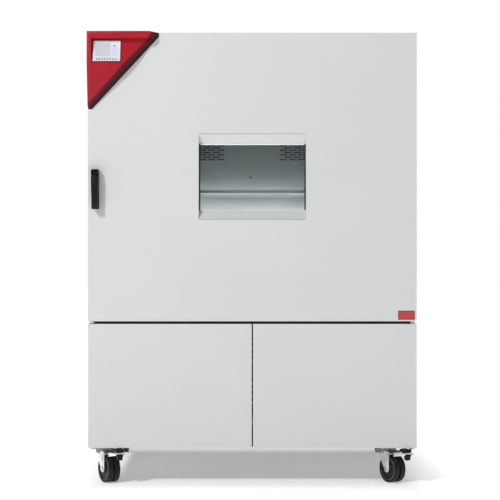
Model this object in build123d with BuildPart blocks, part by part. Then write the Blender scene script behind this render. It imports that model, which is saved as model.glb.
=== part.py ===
from build123d import *
from math import cos, radians, sin
import os

os.makedirs("parts", exist_ok=True)

# Environmental test chamber on four castors. Units are millimetres, X runs to the right,
# the front faces -Y, +Z is up, and the origin is on the floor under the middle of the cabinet.

# Overall size
cabinet_width = 1480.0
overall_depth = 1160.0
cabinet_top = 2035.0
base_underside = 166.0
sheet = 1.5

# Main door
door_top = 2037.0
door_height = 1299.0
door_gap = 12.0
door_thickness = 88.0
gasket_gap = 14.0
housing_depth = 50.0

# Lower doors
lower_door_thickness = 28.0
lower_door_swing_gap = 20.0
lower_door_bottom = 168.0
centre_gap = 6.0

# Test space
interior_width = 1200.0
interior_height = 1040.0
interior_centre_z = 1388.0
liner_depth = 700.0
liner_wall = 1.2
rear_insulation = 100.0
air_guide_depth = 617.0

# Window in the door
window_centre_z = 1389.0
glass_width = 476.0
glass_height = 298.0
recess_width = 484.0
recess_height = 386.0
recess_depth = 26.0
recess_floor_lip = 2.0
pane_thickness = 6.0
pane_cover = 19.0
seat_clearance = 0.3

# Hinges
pin_radius = 6.0
pin_length = 24.0
running_clearance = 0.05
hinge_inset_x = 18.0
hinge_inset_y = 20.0
arm_thickness = 8.0
arm_half_width = 11.0
pocket_height = 14.0
pocket_clearance = 2.0
pivot_block_height = 28.0

# Steel frame
frame_tube = 50.0
frame_wall = 3.0
corner_angle_wall = 4.0
cross_rail_width = 44.0
cross_rail_x = 250.0
castor_pad = 130.0
castor_pad_thickness = 6.0
spigot_reach = 34.0

# Castors
wheel_radius = 62.5
wheel_width = 24.0
wheel_spacing = 9.0
castor_trail = 44.0
castor_plate = 100.0
castor_plate_thickness = 5.0
fork_sheet = 4.0
castor_yaw = 30.0
front_castor_setback = 82.0
rear_castor_setback = 124.5
castor_inset = 64.0
front_right_castor_inset = 122.0
axle_radius = 6.0
pedal_press_z = 131.0
pedal_pivot_trail = 52.0
pedal_pin_radius = 3.0

# Access ports
port_radius = 40.0
port_wall = 3.0
port_flange_radius = 60.0
port_flange_thickness = 8.0
port_setback = 366.5
port_z = 1300.0
plug_length = 70.0
plug_clearance = 0.3

# Planes and limits that follow from the sizes above
half_width = cabinet_width / 2
door_face = -overall_depth / 2 + housing_depth
door_back = door_face + door_thickness
collar_face = door_back + gasket_gap
rear_face = overall_depth / 2 - spigot_reach
door_bottom = door_top - door_height
lower_door_top = door_bottom - door_gap
deck_top = door_bottom - arm_thickness - pocket_clearance
compartment_face = door_face + lower_door_thickness + lower_door_swing_gap
inside_width = half_width - sheet
frame_back = rear_face - sheet
hinge_x = half_width - hinge_inset_x
hinge_y = door_face + hinge_inset_y
interior_floor = interior_centre_z - interior_height / 2
interior_roof = interior_centre_z + interior_height / 2
liner_front = collar_face + sheet
liner_back = liner_front + liner_depth
insulation_back = liner_back + liner_wall + rear_insulation
air_guide_y = liner_front + air_guide_depth
port_y = liner_front + port_setback
bore_radius = pin_radius + running_clearance
floor_top = base_underside + frame_tube


def front_plane(y):
    """A sketch plane facing the front, at the given Y, with +X right and +Z up."""
    return Plane.XZ.offset(-y)


def slab(x, y, z, mode=Mode.ADD):
    """A rectangular block between the given pairs of limits, in either order."""
    middle = ((x[0] + x[1]) / 2, (y[0] + y[1]) / 2, (z[0] + z[1]) / 2)
    with Locations(middle):
        Box(abs(x[1] - x[0]), abs(y[1] - y[0]), abs(z[1] - z[0]), mode=mode)


# Base frame: C-section rings at the floor and under the test space, angle uprights,
# cross rails and the pads that the castors bolt to
front_castor_y = compartment_face + front_castor_setback
rear_castor_y = frame_back - rear_castor_setback
castor_places = {
    "front_left": (castor_inset - half_width, front_castor_y),
    "front_right": (half_width - front_right_castor_inset, front_castor_y),
    "rear_left": (castor_inset - half_width, rear_castor_y),
    "rear_right": (half_width - castor_inset, rear_castor_y),
}
frame_middle_y = (compartment_face + frame_back) / 2
frame_length = frame_back - compartment_face
upright_x = inside_width - frame_tube / 2
upright_y = frame_length / 2 - frame_tube / 2

with BuildPart() as base_frame:
    for ring_top in (floor_top, deck_top):
        with BuildSketch(Plane.XY.offset(ring_top - frame_tube)):
            with Locations((0, frame_middle_y)):
                Rectangle(2 * inside_width, frame_length)
                Rectangle(
                    2 * (inside_width - frame_tube),
                    frame_length - 2 * frame_tube,
                    mode=Mode.SUBTRACT,
                )
        extrude(amount=frame_tube)
        with BuildSketch(Plane.XY.offset(ring_top - frame_tube + frame_wall)):
            with Locations((0, frame_middle_y)):
                Rectangle(2 * (inside_width - frame_wall), frame_length - 2 * frame_wall)
        extrude(amount=frame_tube - 2 * frame_wall, mode=Mode.SUBTRACT)
    with BuildSketch(Plane.XY.offset(base_underside)):
        for side_x in (-1, 1):
            for side_y in (-1, 1):
                with Locations((side_x * upright_x, frame_middle_y + side_y * upright_y)):
                    Rectangle(frame_tube, frame_tube)
                with Locations(
                    (
                        side_x * (upright_x - corner_angle_wall),
                        frame_middle_y + side_y * (upright_y - corner_angle_wall),
                    )
                ):
                    Rectangle(frame_tube, frame_tube, mode=Mode.SUBTRACT)
    extrude(amount=deck_top - base_underside)
    for rail_top in (floor_top, deck_top):
        for side in (-1, 1):
            slab(
                (side * cross_rail_x - cross_rail_width / 2, side * cross_rail_x + cross_rail_width / 2),
                (compartment_face + frame_wall, frame_back - frame_wall),
                (rail_top - frame_tube + frame_wall, rail_top),
            )
            slab(
                (
                    side * cross_rail_x - cross_rail_width / 2 + frame_wall,
                    side * cross_rail_x + cross_rail_width / 2 - frame_wall,
                ),
                (compartment_face + frame_tube, frame_back - frame_tube),
                (rail_top - frame_tube, rail_top - frame_wall),
                mode=Mode.SUBTRACT,
            )
    for castor_x, castor_y in castor_places.values():
        slab(
            (
                max(castor_x - castor_pad / 2, -inside_width),
                min(castor_x + castor_pad / 2, inside_width),
            ),
            (castor_y - castor_pad / 2, castor_y + castor_pad / 2),
            (base_underside, base_underside + castor_pad_thickness),
        )
base_frame.part.label = "base_frame"
export_step(base_frame.part, "parts/base_frame.step")

# Floor tray of the machine bay, with a row of air slots under the compressor
tray_slot_length = 160.0
tray_slot_width = 10.0
tray_slot_pitch = 26.0
tray_slot_count = 8

with BuildPart() as floor_tray:
    with BuildSketch(Plane.XY.offset(floor_top)):
        with Locations((0, frame_middle_y)):
            Rectangle(
                2 * (inside_width - corner_angle_wall) - 2 * frame_tube,
                frame_length - 2 * corner_angle_wall,
            )
        with GridLocations(0, tray_slot_pitch, 1, tray_slot_count):
            SlotOverall(tray_slot_length, tray_slot_width, mode=Mode.SUBTRACT)
    extrude(amount=sheet)
floor_tray.part.label = "floor_tray"
export_step(floor_tray.part, "parts/floor_tray.step")
tray_top = floor_top + sheet

# Side panels: the lower part reaches further forward, to just behind the lower doors
for side, name in ((-1, "left_side_panel"), (1, "right_side_panel")):
    with BuildPart() as side_panel:
        with BuildSketch(Plane.YZ.offset(side * half_width)):
            with BuildLine():
                Polyline(
                    (compartment_face, base_underside),
                    (rear_face, base_underside),
                    (rear_face, cabinet_top),
                    (collar_face, cabinet_top),
                    (collar_face, deck_top),
                    (compartment_face, deck_top),
                    close=True,
                )
            make_face()
            with Locations((port_y, port_z)):
                Circle(port_radius + port_wall, mode=Mode.SUBTRACT)
        extrude(amount=-side * sheet)
    side_panel.part.label = name
    export_step(side_panel.part, f"parts/{name}.step")

# Top panel between the side panels
with BuildPart() as top_panel:
    slab((-inside_width, inside_width), (collar_face, rear_face), (cabinet_top - sheet, cabinet_top))
top_panel.part.label = "top_panel"
export_step(top_panel.part, "parts/top_panel.step")

# Rear panel over the test space, with air slots for the fan motors
motor_slot_length = 150.0
motor_slot_height = 8.0
motor_slot_pitch = 20.0
motor_slot_count = 8
fan_x = 320.0
fan_z = 1620.0

with BuildPart() as rear_panel:
    with BuildSketch(front_plane(rear_face)):
        with Locations((0, (deck_top + cabinet_top - sheet) / 2)):
            Rectangle(2 * inside_width, cabinet_top - sheet - deck_top)
        with Locations((0, fan_z)):
            with GridLocations(2 * fan_x, motor_slot_pitch, 2, motor_slot_count):
                SlotOverall(motor_slot_length, motor_slot_height, mode=Mode.SUBTRACT)
    extrude(amount=sheet)
rear_panel.part.label = "rear_panel"
export_step(rear_panel.part, "parts/rear_panel.step")

# Rear grille over the machine bay: a sheet with slots in front of the condenser, the inlet
# gland and the two hose tails
grille_slot_length = 280.0
grille_slot_height = 9.0
grille_slot_pitch = 22.0
grille_slot_count = 16
condenser_z = 450.0
inlet_x = 600.0
inlet_z = 300.0
gland_hole_radius = 12.0
spigot_x = -560.0
spigot_spacing = 90.0
spigot_z = 300.0
spigot_hole_radius = 9.0

with BuildPart() as rear_grille:
    with BuildSketch(front_plane(rear_face)):
        with Locations((0, (base_underside + deck_top) / 2)):
            Rectangle(2 * inside_width, deck_top - base_underside)
        with Locations((0, condenser_z)):
            with GridLocations(grille_slot_length + 30, grille_slot_pitch, 2, grille_slot_count):
                SlotOverall(grille_slot_length, grille_slot_height, mode=Mode.SUBTRACT)
        with Locations((inlet_x, inlet_z)):
            Circle(gland_hole_radius, mode=Mode.SUBTRACT)
        with Locations((spigot_x, spigot_z), (spigot_x + spigot_spacing, spigot_z)):
            Circle(spigot_hole_radius, mode=Mode.SUBTRACT)
    extrude(amount=sheet)
rear_grille.part.label = "rear_grille"
export_step(rear_grille.part, "parts/rear_grille.step")

# Front collar: the painted frame round the mouth of the test space that the gasket closes on
with BuildPart() as front_collar:
    with BuildSketch(front_plane(liner_front)):
        with Locations((0, (deck_top + cabinet_top - sheet) / 2)):
            Rectangle(2 * inside_width, cabinet_top - sheet - deck_top)
        with Locations((0, interior_centre_z)):
            Rectangle(interior_width, interior_height, mode=Mode.SUBTRACT)
    extrude(amount=sheet)
front_collar.part.label = "front_collar"
export_step(front_collar.part, "parts/front_collar.step")

# Stainless liner of the test space, open at the front
shaft_radius = 6.0
shaft_hole_radius = 9.0

with BuildPart() as chamber_liner:
    slab(
        (-interior_width / 2 - liner_wall, interior_width / 2 + liner_wall),
        (liner_front, liner_back + liner_wall),
        (interior_floor - liner_wall, interior_roof + liner_wall),
    )
    slab(
        (-interior_width / 2, interior_width / 2),
        (liner_front, liner_back),
        (interior_floor, interior_roof),
        mode=Mode.SUBTRACT,
    )
    with Locations(Plane.YZ):
        with Locations((port_y, port_z, 0)):
            Cylinder(port_radius + port_wall, cabinet_width, mode=Mode.SUBTRACT)
    with Locations(front_plane(liner_back)):
        with Locations((-fan_x, fan_z, 0), (fan_x, fan_z, 0)):
            Cylinder(shaft_hole_radius, rear_insulation, mode=Mode.SUBTRACT)
chamber_liner.part.label = "chamber_liner"
export_step(chamber_liner.part, "parts/chamber_liner.step")

# Foam insulation between the liner and the outer sheets
with BuildPart() as chamber_insulation:
    slab(
        (-inside_width, inside_width),
        (liner_front, insulation_back),
        (deck_top, cabinet_top - sheet),
    )
    slab(
        (-interior_width / 2 - liner_wall, interior_width / 2 + liner_wall),
        (liner_front, liner_back + liner_wall),
        (interior_floor - liner_wall, interior_roof + liner_wall),
        mode=Mode.SUBTRACT,
    )
    with Locations(Plane.YZ):
        with Locations((port_y, port_z, 0)):
            Cylinder(port_radius + port_wall, cabinet_width, mode=Mode.SUBTRACT)
    with Locations(front_plane(liner_back + rear_insulation)):
        with Locations((-fan_x, fan_z, 0), (fan_x, fan_z, 0)):
            Cylinder(shaft_hole_radius, 3 * rear_insulation, mode=Mode.SUBTRACT)
chamber_insulation.part.label = "chamber_insulation"
export_step(chamber_insulation.part, "parts/chamber_insulation.step")

# Air guide: the slotted rear wall seen through the window, folded back to the liner's sides
vent_slot_length = 36.8
vent_slot_height = 6.0
vent_slot_pitch_x = 45.4
vent_slot_pitch_z = 11.8
vent_columns = 8
vent_rows = 9
vent_inner_x = 152.0
vent_bottom_z = 1515.0
air_guide_bottom_gap = 60.0
air_guide_flange = 20.0
vent_centre_x = vent_inner_x + vent_slot_length / 2 + (vent_columns - 1) * vent_slot_pitch_x / 2
vent_half_step = vent_slot_pitch_x / 4

with BuildPart() as air_guide_panel:
    slab(
        (-interior_width / 2, interior_width / 2),
        (air_guide_y, air_guide_y + air_guide_flange),
        (interior_floor + air_guide_bottom_gap, interior_roof),
    )
    slab(
        (-interior_width / 2 + sheet, interior_width / 2 - sheet),
        (air_guide_y + sheet, air_guide_y + air_guide_flange),
        (interior_floor + air_guide_bottom_gap + sheet, interior_roof - sheet),
        mode=Mode.SUBTRACT,
    )
    with BuildSketch(front_plane(air_guide_y + sheet)):
        for row in range(vent_rows):
            row_z = vent_bottom_z + row * vent_slot_pitch_z
            row_shift = vent_half_step if row % 2 else -vent_half_step
            for side in (-1, 1):
                with Locations((side * (vent_centre_x + row_shift), row_z)):
                    with GridLocations(vent_slot_pitch_x, 0, vent_columns, 1):
                        Rectangle(vent_slot_length, vent_slot_height)
    extrude(amount=sheet, mode=Mode.SUBTRACT)
air_guide_panel.part.label = "air_guide_panel"
export_step(air_guide_panel.part, "parts/air_guide_panel.step")

# Evaporator: a finned block on two end plates behind the air guide
evaporator_half_width = 430.0
evaporator_front_gap = 14.0
evaporator_depth = 50.0
evaporator_bottom = 960.0
evaporator_top = 1440.0
fin_pitch = 34.0
fin_count = 24
fin_groove = 22.0
fin_depth = 10.0
evaporator_front = air_guide_y + evaporator_front_gap

with BuildPart() as evaporator:
    slab(
        (-evaporator_half_width, evaporator_half_width),
        (evaporator_front, evaporator_front + evaporator_depth),
        (evaporator_bottom, evaporator_top),
    )
    for side in (-1, 1):
        slab(
            (side * evaporator_half_width, side * (evaporator_half_width + corner_angle_wall)),
            (evaporator_front, liner_back),
            (evaporator_bottom, evaporator_top),
        )
    with BuildSketch(front_plane(evaporator_front + fin_depth)):
        with Locations((0, (evaporator_bottom + evaporator_top) / 2)):
            with GridLocations(fin_pitch, 0, fin_count, 1):
                Rectangle(fin_groove, evaporator_top - evaporator_bottom)
    extrude(amount=fin_depth, mode=Mode.SUBTRACT)
evaporator.part.label = "evaporator"
export_step(evaporator.part, "parts/evaporator.step")

# Heating element: a sheathed tube in one long loop between the evaporator and the fans
heater_radius = 5.0
heater_half_width = 420.0
heater_gap = 49.5
heater_lower_z = 1462.0
heater_upper_z = 1492.0
heater_bend = 12.0
heater_y = air_guide_y + heater_gap

with BuildPart() as heating_element:
    with BuildLine():
        heater_path = FilletPolyline(
            (-heater_half_width, liner_back, heater_lower_z),
            (-heater_half_width, heater_y, heater_lower_z),
            (heater_half_width, heater_y, heater_lower_z),
            (heater_half_width, heater_y, heater_upper_z),
            (-heater_half_width, heater_y, heater_upper_z),
            (-heater_half_width, liner_back, heater_upper_z),
            radius=heater_bend,
        )
    with BuildSketch(Plane(heater_path @ 0, z_dir=heater_path % 0)):
        Circle(heater_radius)
    sweep()
heating_element.part.label = "heating_element"
export_step(heating_element.part, "parts/heating_element.step")

# Circulation fans, condenser fan and their motors; the shaft belongs to the rotor
fan_radius = 105.0
hub_radius = 28.0
hub_length = 30.0
blade_count = 6
blade_chord = 30.0
blade_thickness = 2.0
blade_pitch = 32.0
circulation_fan_y = air_guide_y + air_guide_flange + 22
motor_radius = 45.0
motor_length = 70.0
motor_bore_depth = 34.0
motor_flange = 112.0
motor_flange_thickness = 4.0
condenser_half_width = 330.0
condenser_depth = 50.0
condenser_top = 640.0
condenser_back_gap = 40.0
condenser_front = rear_face - sheet - condenser_back_gap - condenser_depth
shroud_ring_radius = 172.0
shroud_ring_length = 52.0
shroud_sheet = 2.0
condenser_fan_radius = 165.0
condenser_fan_y = condenser_front - 26.0
bracket_width = 60.0
bracket_y = condenser_front - shroud_ring_length
condenser_motor_z = (tray_top + condenser_top) / 2

fan_places = {
    "circulation_fan_left": (-fan_x, circulation_fan_y, fan_z, fan_radius, insulation_back, 1),
    "circulation_fan_right": (fan_x, circulation_fan_y, fan_z, fan_radius, insulation_back, 1),
    "condenser_fan": (0, condenser_fan_y, condenser_motor_z, condenser_fan_radius, bracket_y, -1),
}

for name, (at_x, at_y, at_z, rotor_radius, motor_face, motor_side) in fan_places.items():
    with BuildPart(Plane((at_x, at_y, at_z), x_dir=(1, 0, 0), z_dir=(0, motor_side, 0))) as rotor:
        Cylinder(hub_radius, hub_length)
        shaft_length = abs(motor_face - at_y) + motor_bore_depth - pocket_clearance
        Cylinder(shaft_radius, shaft_length, align=(Align.CENTER, Align.CENTER, Align.MIN))
        blade_length = rotor_radius - hub_radius + blade_thickness
        with PolarLocations(hub_radius - blade_thickness + blade_length / 2, blade_count):
            Box(blade_length, blade_chord, blade_thickness, rotation=(blade_pitch, 0, 0))
    rotor.part.label = name
    export_step(rotor.part, f"parts/{name}.step")

with BuildPart() as fan_motors:
    for at_x, at_y, at_z, rotor_radius, motor_face, motor_side in fan_places.values():
        motor_plane = Plane((at_x, motor_face, at_z), x_dir=(1, 0, 0), z_dir=(0, motor_side, 0))
        with BuildSketch(motor_plane):
            Rectangle(motor_flange, motor_flange)
        extrude(amount=motor_flange_thickness)
        with BuildSketch(motor_plane):
            Circle(motor_radius)
        extrude(amount=motor_length)
        with BuildSketch(motor_plane):
            Circle(shaft_radius + running_clearance)
        extrude(amount=motor_bore_depth, mode=Mode.SUBTRACT)
fan_motors.part.label = "fan_motors"
export_step(fan_motors.part, "parts/fan_motors.step")

# Condenser at the back of the machine bay, standing on the tray
with BuildPart() as condenser:
    slab(
        (-condenser_half_width, condenser_half_width),
        (condenser_front, condenser_front + condenser_depth),
        (tray_top, condenser_top),
    )
    with BuildSketch(front_plane(condenser_front + condenser_depth)):
        with Locations((0, (tray_top + condenser_top) / 2)):
            with GridLocations(fin_pitch, 0, int(2 * condenser_half_width / fin_pitch), 1):
                Rectangle(fin_groove, condenser_top - tray_top - 2 * fin_depth)
    extrude(amount=fin_depth, mode=Mode.SUBTRACT)
condenser.part.label = "condenser"
export_step(condenser.part, "parts/condenser.step")

# Fan shroud with its ring and the strip that carries the motor
with BuildPart() as fan_shroud:
    with BuildSketch(front_plane(condenser_front)):
        with Locations((0, condenser_motor_z)):
            Rectangle(2 * condenser_half_width, condenser_top - tray_top)
            Circle(shroud_ring_radius, mode=Mode.SUBTRACT)
    extrude(amount=shroud_sheet)
    with BuildSketch(front_plane(condenser_front)):
        with Locations((0, condenser_motor_z)):
            Circle(shroud_ring_radius + shroud_sheet)
            Circle(shroud_ring_radius, mode=Mode.SUBTRACT)
    extrude(amount=shroud_ring_length)
    with BuildSketch(front_plane(bracket_y + shroud_sheet)):
        with Locations((0, condenser_motor_z)):
            Rectangle(bracket_width, 2 * (shroud_ring_radius + shroud_sheet))
            Circle(shaft_hole_radius, mode=Mode.SUBTRACT)
    extrude(amount=shroud_sheet)
fan_shroud.part.label = "fan_shroud"
export_step(fan_shroud.part, "parts/fan_shroud.step")

# Rack supports: slotted uprights on the liner's side walls and the two rails under the shelf
upright_width = 20.0
upright_depth = 10.0
upright_front_gap = 96.5
upright_back_gap = 110.5
upright_front_y = liner_front + upright_front_gap
upright_back_y = air_guide_y - upright_back_gap
upright_bottom_z = 930.0
upright_top_z = 1850.0
shelf_rail_width = 16.0
shelf_rail_height = 6.0
shelf_underside = 1322.0
shelf_height = 14.0
shelf_wall = 1.5
shelf_front_y = -368.0
shelf_back_y = 130.0
shelf_side_gap = 4.0
rail_outer_x = interior_width / 2 - upright_depth
shelf_half_width = rail_outer_x - shelf_side_gap

with BuildPart() as rack_supports:
    for side in (-1, 1):
        for upright_at in (upright_front_y, upright_back_y):
            slab(
                (side * interior_width / 2, side * rail_outer_x),
                (upright_at - upright_width / 2, upright_at + upright_width / 2),
                (upright_bottom_z, upright_top_z),
            )
        slab(
            (side * rail_outer_x, side * (rail_outer_x - shelf_rail_width)),
            (shelf_front_y, shelf_back_y),
            (shelf_underside - shelf_rail_height, shelf_underside),
        )
rack_supports.part.label = "rack_supports"
export_step(rack_supports.part, "parts/rack_supports.step")

# Shelf: a stainless sheet with turned-down edges and rows of air slots
shelf_slot_length = 120.0
shelf_slot_width = 12.0
shelf_slot_columns = 6
shelf_slot_rows = 7
shelf_slot_pitch_x = 180.0
shelf_slot_pitch_y = 60.0

with BuildPart() as shelf:
    slab(
        (-shelf_half_width, shelf_half_width),
        (shelf_front_y, shelf_back_y),
        (shelf_underside, shelf_underside + shelf_height),
    )
    slab(
        (-shelf_half_width + shelf_wall, shelf_half_width - shelf_wall),
        (shelf_front_y + shelf_wall, shelf_back_y - shelf_wall),
        (shelf_underside, shelf_underside + shelf_height - shelf_wall),
        mode=Mode.SUBTRACT,
    )
    with BuildSketch(Plane.XY.offset(shelf_underside + shelf_height)):
        with Locations((0, (shelf_front_y + shelf_back_y) / 2)):
            with GridLocations(
                shelf_slot_pitch_x, shelf_slot_pitch_y, shelf_slot_columns, shelf_slot_rows
            ):
                Rectangle(shelf_slot_length, shelf_slot_width)
    extrude(amount=-shelf_wall, mode=Mode.SUBTRACT)
shelf.part.label = "shelf"
export_step(shelf.part, "parts/shelf.step")

# Access ports: a sleeve through each side wall with a flange outside
with BuildPart() as access_ports:
    for side in (-1, 1):
        sleeve_plane = Plane((side * interior_width / 2, port_y, port_z), (0, 1, 0), (side, 0, 0))
        with BuildSketch(sleeve_plane):
            Circle(port_radius + port_wall)
            Circle(port_radius, mode=Mode.SUBTRACT)
        extrude(amount=(cabinet_width - interior_width) / 2)
        flange_plane = sleeve_plane.offset((cabinet_width - interior_width) / 2)
        with BuildSketch(flange_plane):
            Circle(port_flange_radius)
            Circle(port_radius, mode=Mode.SUBTRACT)
        extrude(amount=port_flange_thickness)
access_ports.part.label = "access_ports"
export_step(access_ports.part, "parts/access_ports.step")

# Silicone plug in the left port, with a finger recess in its outer end
plug_grip_radius = 26.0
plug_grip_depth = 14.0
plug_knob_radius = 9.0
plug_end_x = -half_width - port_flange_thickness + pocket_clearance

with BuildPart(Plane((plug_end_x, port_y, port_z), (0, 1, 0), (-1, 0, 0))) as port_plug:
    Cylinder(
        port_radius - plug_clearance,
        plug_length,
        align=(Align.CENTER, Align.CENTER, Align.MAX),
    )
    Cylinder(
        plug_grip_radius,
        plug_grip_depth,
        align=(Align.CENTER, Align.CENTER, Align.MAX),
        mode=Mode.SUBTRACT,
    )
    Cylinder(
        plug_knob_radius,
        plug_grip_depth,
        align=(Align.CENTER, Align.CENTER, Align.MAX),
    )
port_plug.part.label = "port_plug"
export_step(port_plug.part, "parts/port_plug.step")

# Hermetic compressor: a domed pot on a foot plate
compressor_x = -120.0
compressor_y = 110.0
compressor_radius = 95.0
compressor_height = 290.0
compressor_shoulder = 45.0
compressor_foot = 210.0
compressor_foot_height = 14.0

with BuildPart() as compressor:
    with BuildSketch(Plane((compressor_x, compressor_y, tray_top))):
        RectangleRounded(compressor_foot, compressor_foot, 20)
    extrude(amount=compressor_foot_height)
    with BuildSketch(Plane((compressor_x, compressor_y, tray_top + compressor_foot_height))):
        Circle(compressor_radius)
    extrude(amount=compressor_height - compressor_foot_height)
    fillet(compressor.edges().sort_by(Axis.Z)[-1], compressor_shoulder)
compressor.part.label = "compressor"
export_step(compressor.part, "parts/compressor.step")

# Refrigerant pipes: from the compressor's dome to the condenser and up under the test space
pipe_radius = 6.0
pipe_bend = 30.0
pipe_top_z = 600.0
riser_x = -280.0

with BuildPart() as refrigerant_pipes:
    with BuildLine() as discharge_line:
        discharge_path = FilletPolyline(
            (compressor_x, compressor_y, tray_top + compressor_height),
            (compressor_x, compressor_y, pipe_top_z),
            (riser_x, compressor_y, pipe_top_z),
            (riser_x, condenser_front - shroud_sheet, pipe_top_z),
            radius=pipe_bend,
        )
    with BuildSketch(Plane(discharge_path @ 0, z_dir=discharge_path % 0)):
        Circle(pipe_radius)
    sweep(path=discharge_path)
refrigerant_pipes.part.label = "refrigerant_pipes"
export_step(refrigerant_pipes.part, "parts/refrigerant_pipes.step")

# Steam humidifier pot and fresh-water tank in the left half of the machine bay
humidifier_x = -300.0
humidifier_y = -200.0
humidifier_radius = 75.0
humidifier_height = 280.0
humidifier_rim = 6.0
tank_inset = 70.0
tank_setback = 42.0
tank_width = 230.0
tank_length = 360.0
tank_height = 260.0
tank_corner = 25.0
tank_neck_radius = 32.0
tank_neck_height = 22.0
tank_x = (tank_inset - half_width, tank_inset + tank_width - half_width)
tank_y = (compartment_face + tank_setback, compartment_face + tank_setback + tank_length)

with BuildPart(Plane((humidifier_x, humidifier_y, tray_top))) as humidifier:
    Cylinder(
        humidifier_radius,
        humidifier_height,
        align=(Align.CENTER, Align.CENTER, Align.MIN),
    )
    with Locations((0, 0, humidifier_height - 4 * humidifier_rim)):
        Cylinder(
            humidifier_radius + humidifier_rim,
            2 * humidifier_rim,
            align=(Align.CENTER, Align.CENTER, Align.MIN),
        )
humidifier.part.label = "humidifier"
export_step(humidifier.part, "parts/humidifier.step")

with BuildPart() as water_tank:
    slab(tank_x, tank_y, (tray_top, tray_top + tank_height))
    fillet(water_tank.edges().filter_by(Axis.Z), tank_corner)
    with Locations(((tank_x[0] + tank_x[1]) / 2, tank_y[0] / 2 + tank_y[1] / 2, tray_top + tank_height)):
        Cylinder(
            tank_neck_radius, tank_neck_height, align=(Align.CENTER, Align.CENTER, Align.MIN)
        )
water_tank.part.label = "water_tank"
export_step(water_tank.part, "parts/water_tank.step")

# Electronics box and the rotary main switch on its front
electronics_inset = 70.0
electronics_setback = 52.0
electronics_width = 270.0
electronics_depth = 280.0
electronics_height = 400.0
switch_inset = 70.0
switch_z = 560.0
switch_radius = 24.0
switch_base = 6.0
switch_grip_width = 12.0
switch_grip_height = 14.0
switch_stem_radius = 5.0
switch_stem_length = 20.0
electronics_right = half_width - electronics_inset
electronics_x = (electronics_right - electronics_width, electronics_right)
electronics_front = compartment_face + electronics_setback
electronics_y = (electronics_front, electronics_front + electronics_depth)
switch_x = electronics_x[0] + switch_inset

with BuildPart() as electronics_box:
    slab(electronics_x, electronics_y, (tray_top, tray_top + electronics_height))
    fillet(electronics_box.edges().filter_by(Axis.Z), 6)
    with Locations(Plane((switch_x, electronics_y[0], switch_z), (1, 0, 0), (0, -1, 0))):
        Cylinder(
            switch_stem_radius + running_clearance,
            2 * switch_stem_length,
            mode=Mode.SUBTRACT,
        )
electronics_box.part.label = "electronics_box"
export_step(electronics_box.part, "parts/electronics_box.step")

with BuildPart(
    Plane((switch_x, electronics_y[0] - seat_clearance, switch_z), (1, 0, 0), (0, -1, 0))
) as main_switch:
    Cylinder(switch_radius, switch_base, align=(Align.CENTER, Align.CENTER, Align.MIN))
    Cylinder(
        switch_stem_radius,
        switch_stem_length - pocket_clearance,
        align=(Align.CENTER, Align.CENTER, Align.MAX),
    )
    Box(
        switch_grip_width,
        2 * switch_radius - 4,
        switch_base + switch_grip_height,
        align=(Align.CENTER, Align.CENTER, Align.MIN),
    )
main_switch.part.label = "main_switch"
export_step(main_switch.part, "parts/main_switch.step")

# Power inlet gland and the water and drain hose tails on the rear grille
gland_hex_radius = 18.0
gland_hex_length = 10.0
gland_thread_length = 16.0
gland_bore_radius = 6.0
spigot_tail_radius = 7.0
spigot_flange_radius = 15.0
spigot_flange_length = 8.0
spigot_bore_radius = 4.5

with BuildPart(Plane((inlet_x, rear_face, inlet_z), (-1, 0, 0), (0, 1, 0))) as power_inlet:
    with BuildSketch(Plane((inlet_x, rear_face, inlet_z), (-1, 0, 0), (0, 1, 0))):
        RegularPolygon(gland_hex_radius, 6)
    extrude(amount=gland_hex_length)
    Cylinder(
        gland_hole_radius - seat_clearance,
        gland_thread_length,
        align=(Align.CENTER, Align.CENTER, Align.MAX),
    )
    Cylinder(gland_bore_radius, 4 * gland_thread_length, mode=Mode.SUBTRACT)
power_inlet.part.label = "power_inlet"
export_step(power_inlet.part, "parts/power_inlet.step")

with BuildPart() as water_spigots:
    for tail_x in (spigot_x, spigot_x + spigot_spacing):
        tail_plane = Plane((tail_x, rear_face, spigot_z), (-1, 0, 0), (0, 1, 0))
        with BuildSketch(tail_plane):
            Circle(spigot_flange_radius)
        extrude(amount=spigot_flange_length)
        with BuildSketch(tail_plane):
            Circle(spigot_tail_radius)
        extrude(amount=spigot_reach)
        with BuildSketch(tail_plane.offset(-gland_thread_length)):
            Circle(spigot_hole_radius - seat_clearance)
        extrude(amount=gland_thread_length)
        with BuildSketch(tail_plane.offset(-gland_thread_length)):
            Circle(spigot_bore_radius)
        extrude(amount=gland_thread_length + spigot_reach, mode=Mode.SUBTRACT)
water_spigots.part.label = "water_spigots"
export_step(water_spigots.part, "parts/water_spigots.step")

# Hinge brackets: flat arms with pins, shared by the main door and the lower doors
bottom_arm_thickness = 6.0
arm_seat = 36.0
foot_height = 40.0
foot_thickness = 8.0
upper_arm_top = door_top - pocket_height + pocket_clearance + arm_thickness


def hinge_arm(side, arm_bottom, thickness, back_y):
    """A flat arm from its pin's rounded end back to its seat."""
    with BuildSketch(Plane.XY.offset(arm_bottom)) as arm:
        with Locations((side * hinge_x, hinge_y)):
            Circle(arm_half_width)
        with Locations((side * hinge_x, (hinge_y + back_y) / 2)):
            Rectangle(2 * arm_half_width, back_y - hinge_y)
    extrude(arm.sketch, amount=thickness)


def hinge_pin(side, pin_bottom):
    """A hinge pin standing on or under an arm."""
    with BuildSketch(Plane.XY.offset(pin_bottom)) as pin:
        with Locations((side * hinge_x, hinge_y)):
            Circle(pin_radius)
    extrude(pin.sketch, amount=pin_length)


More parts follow.
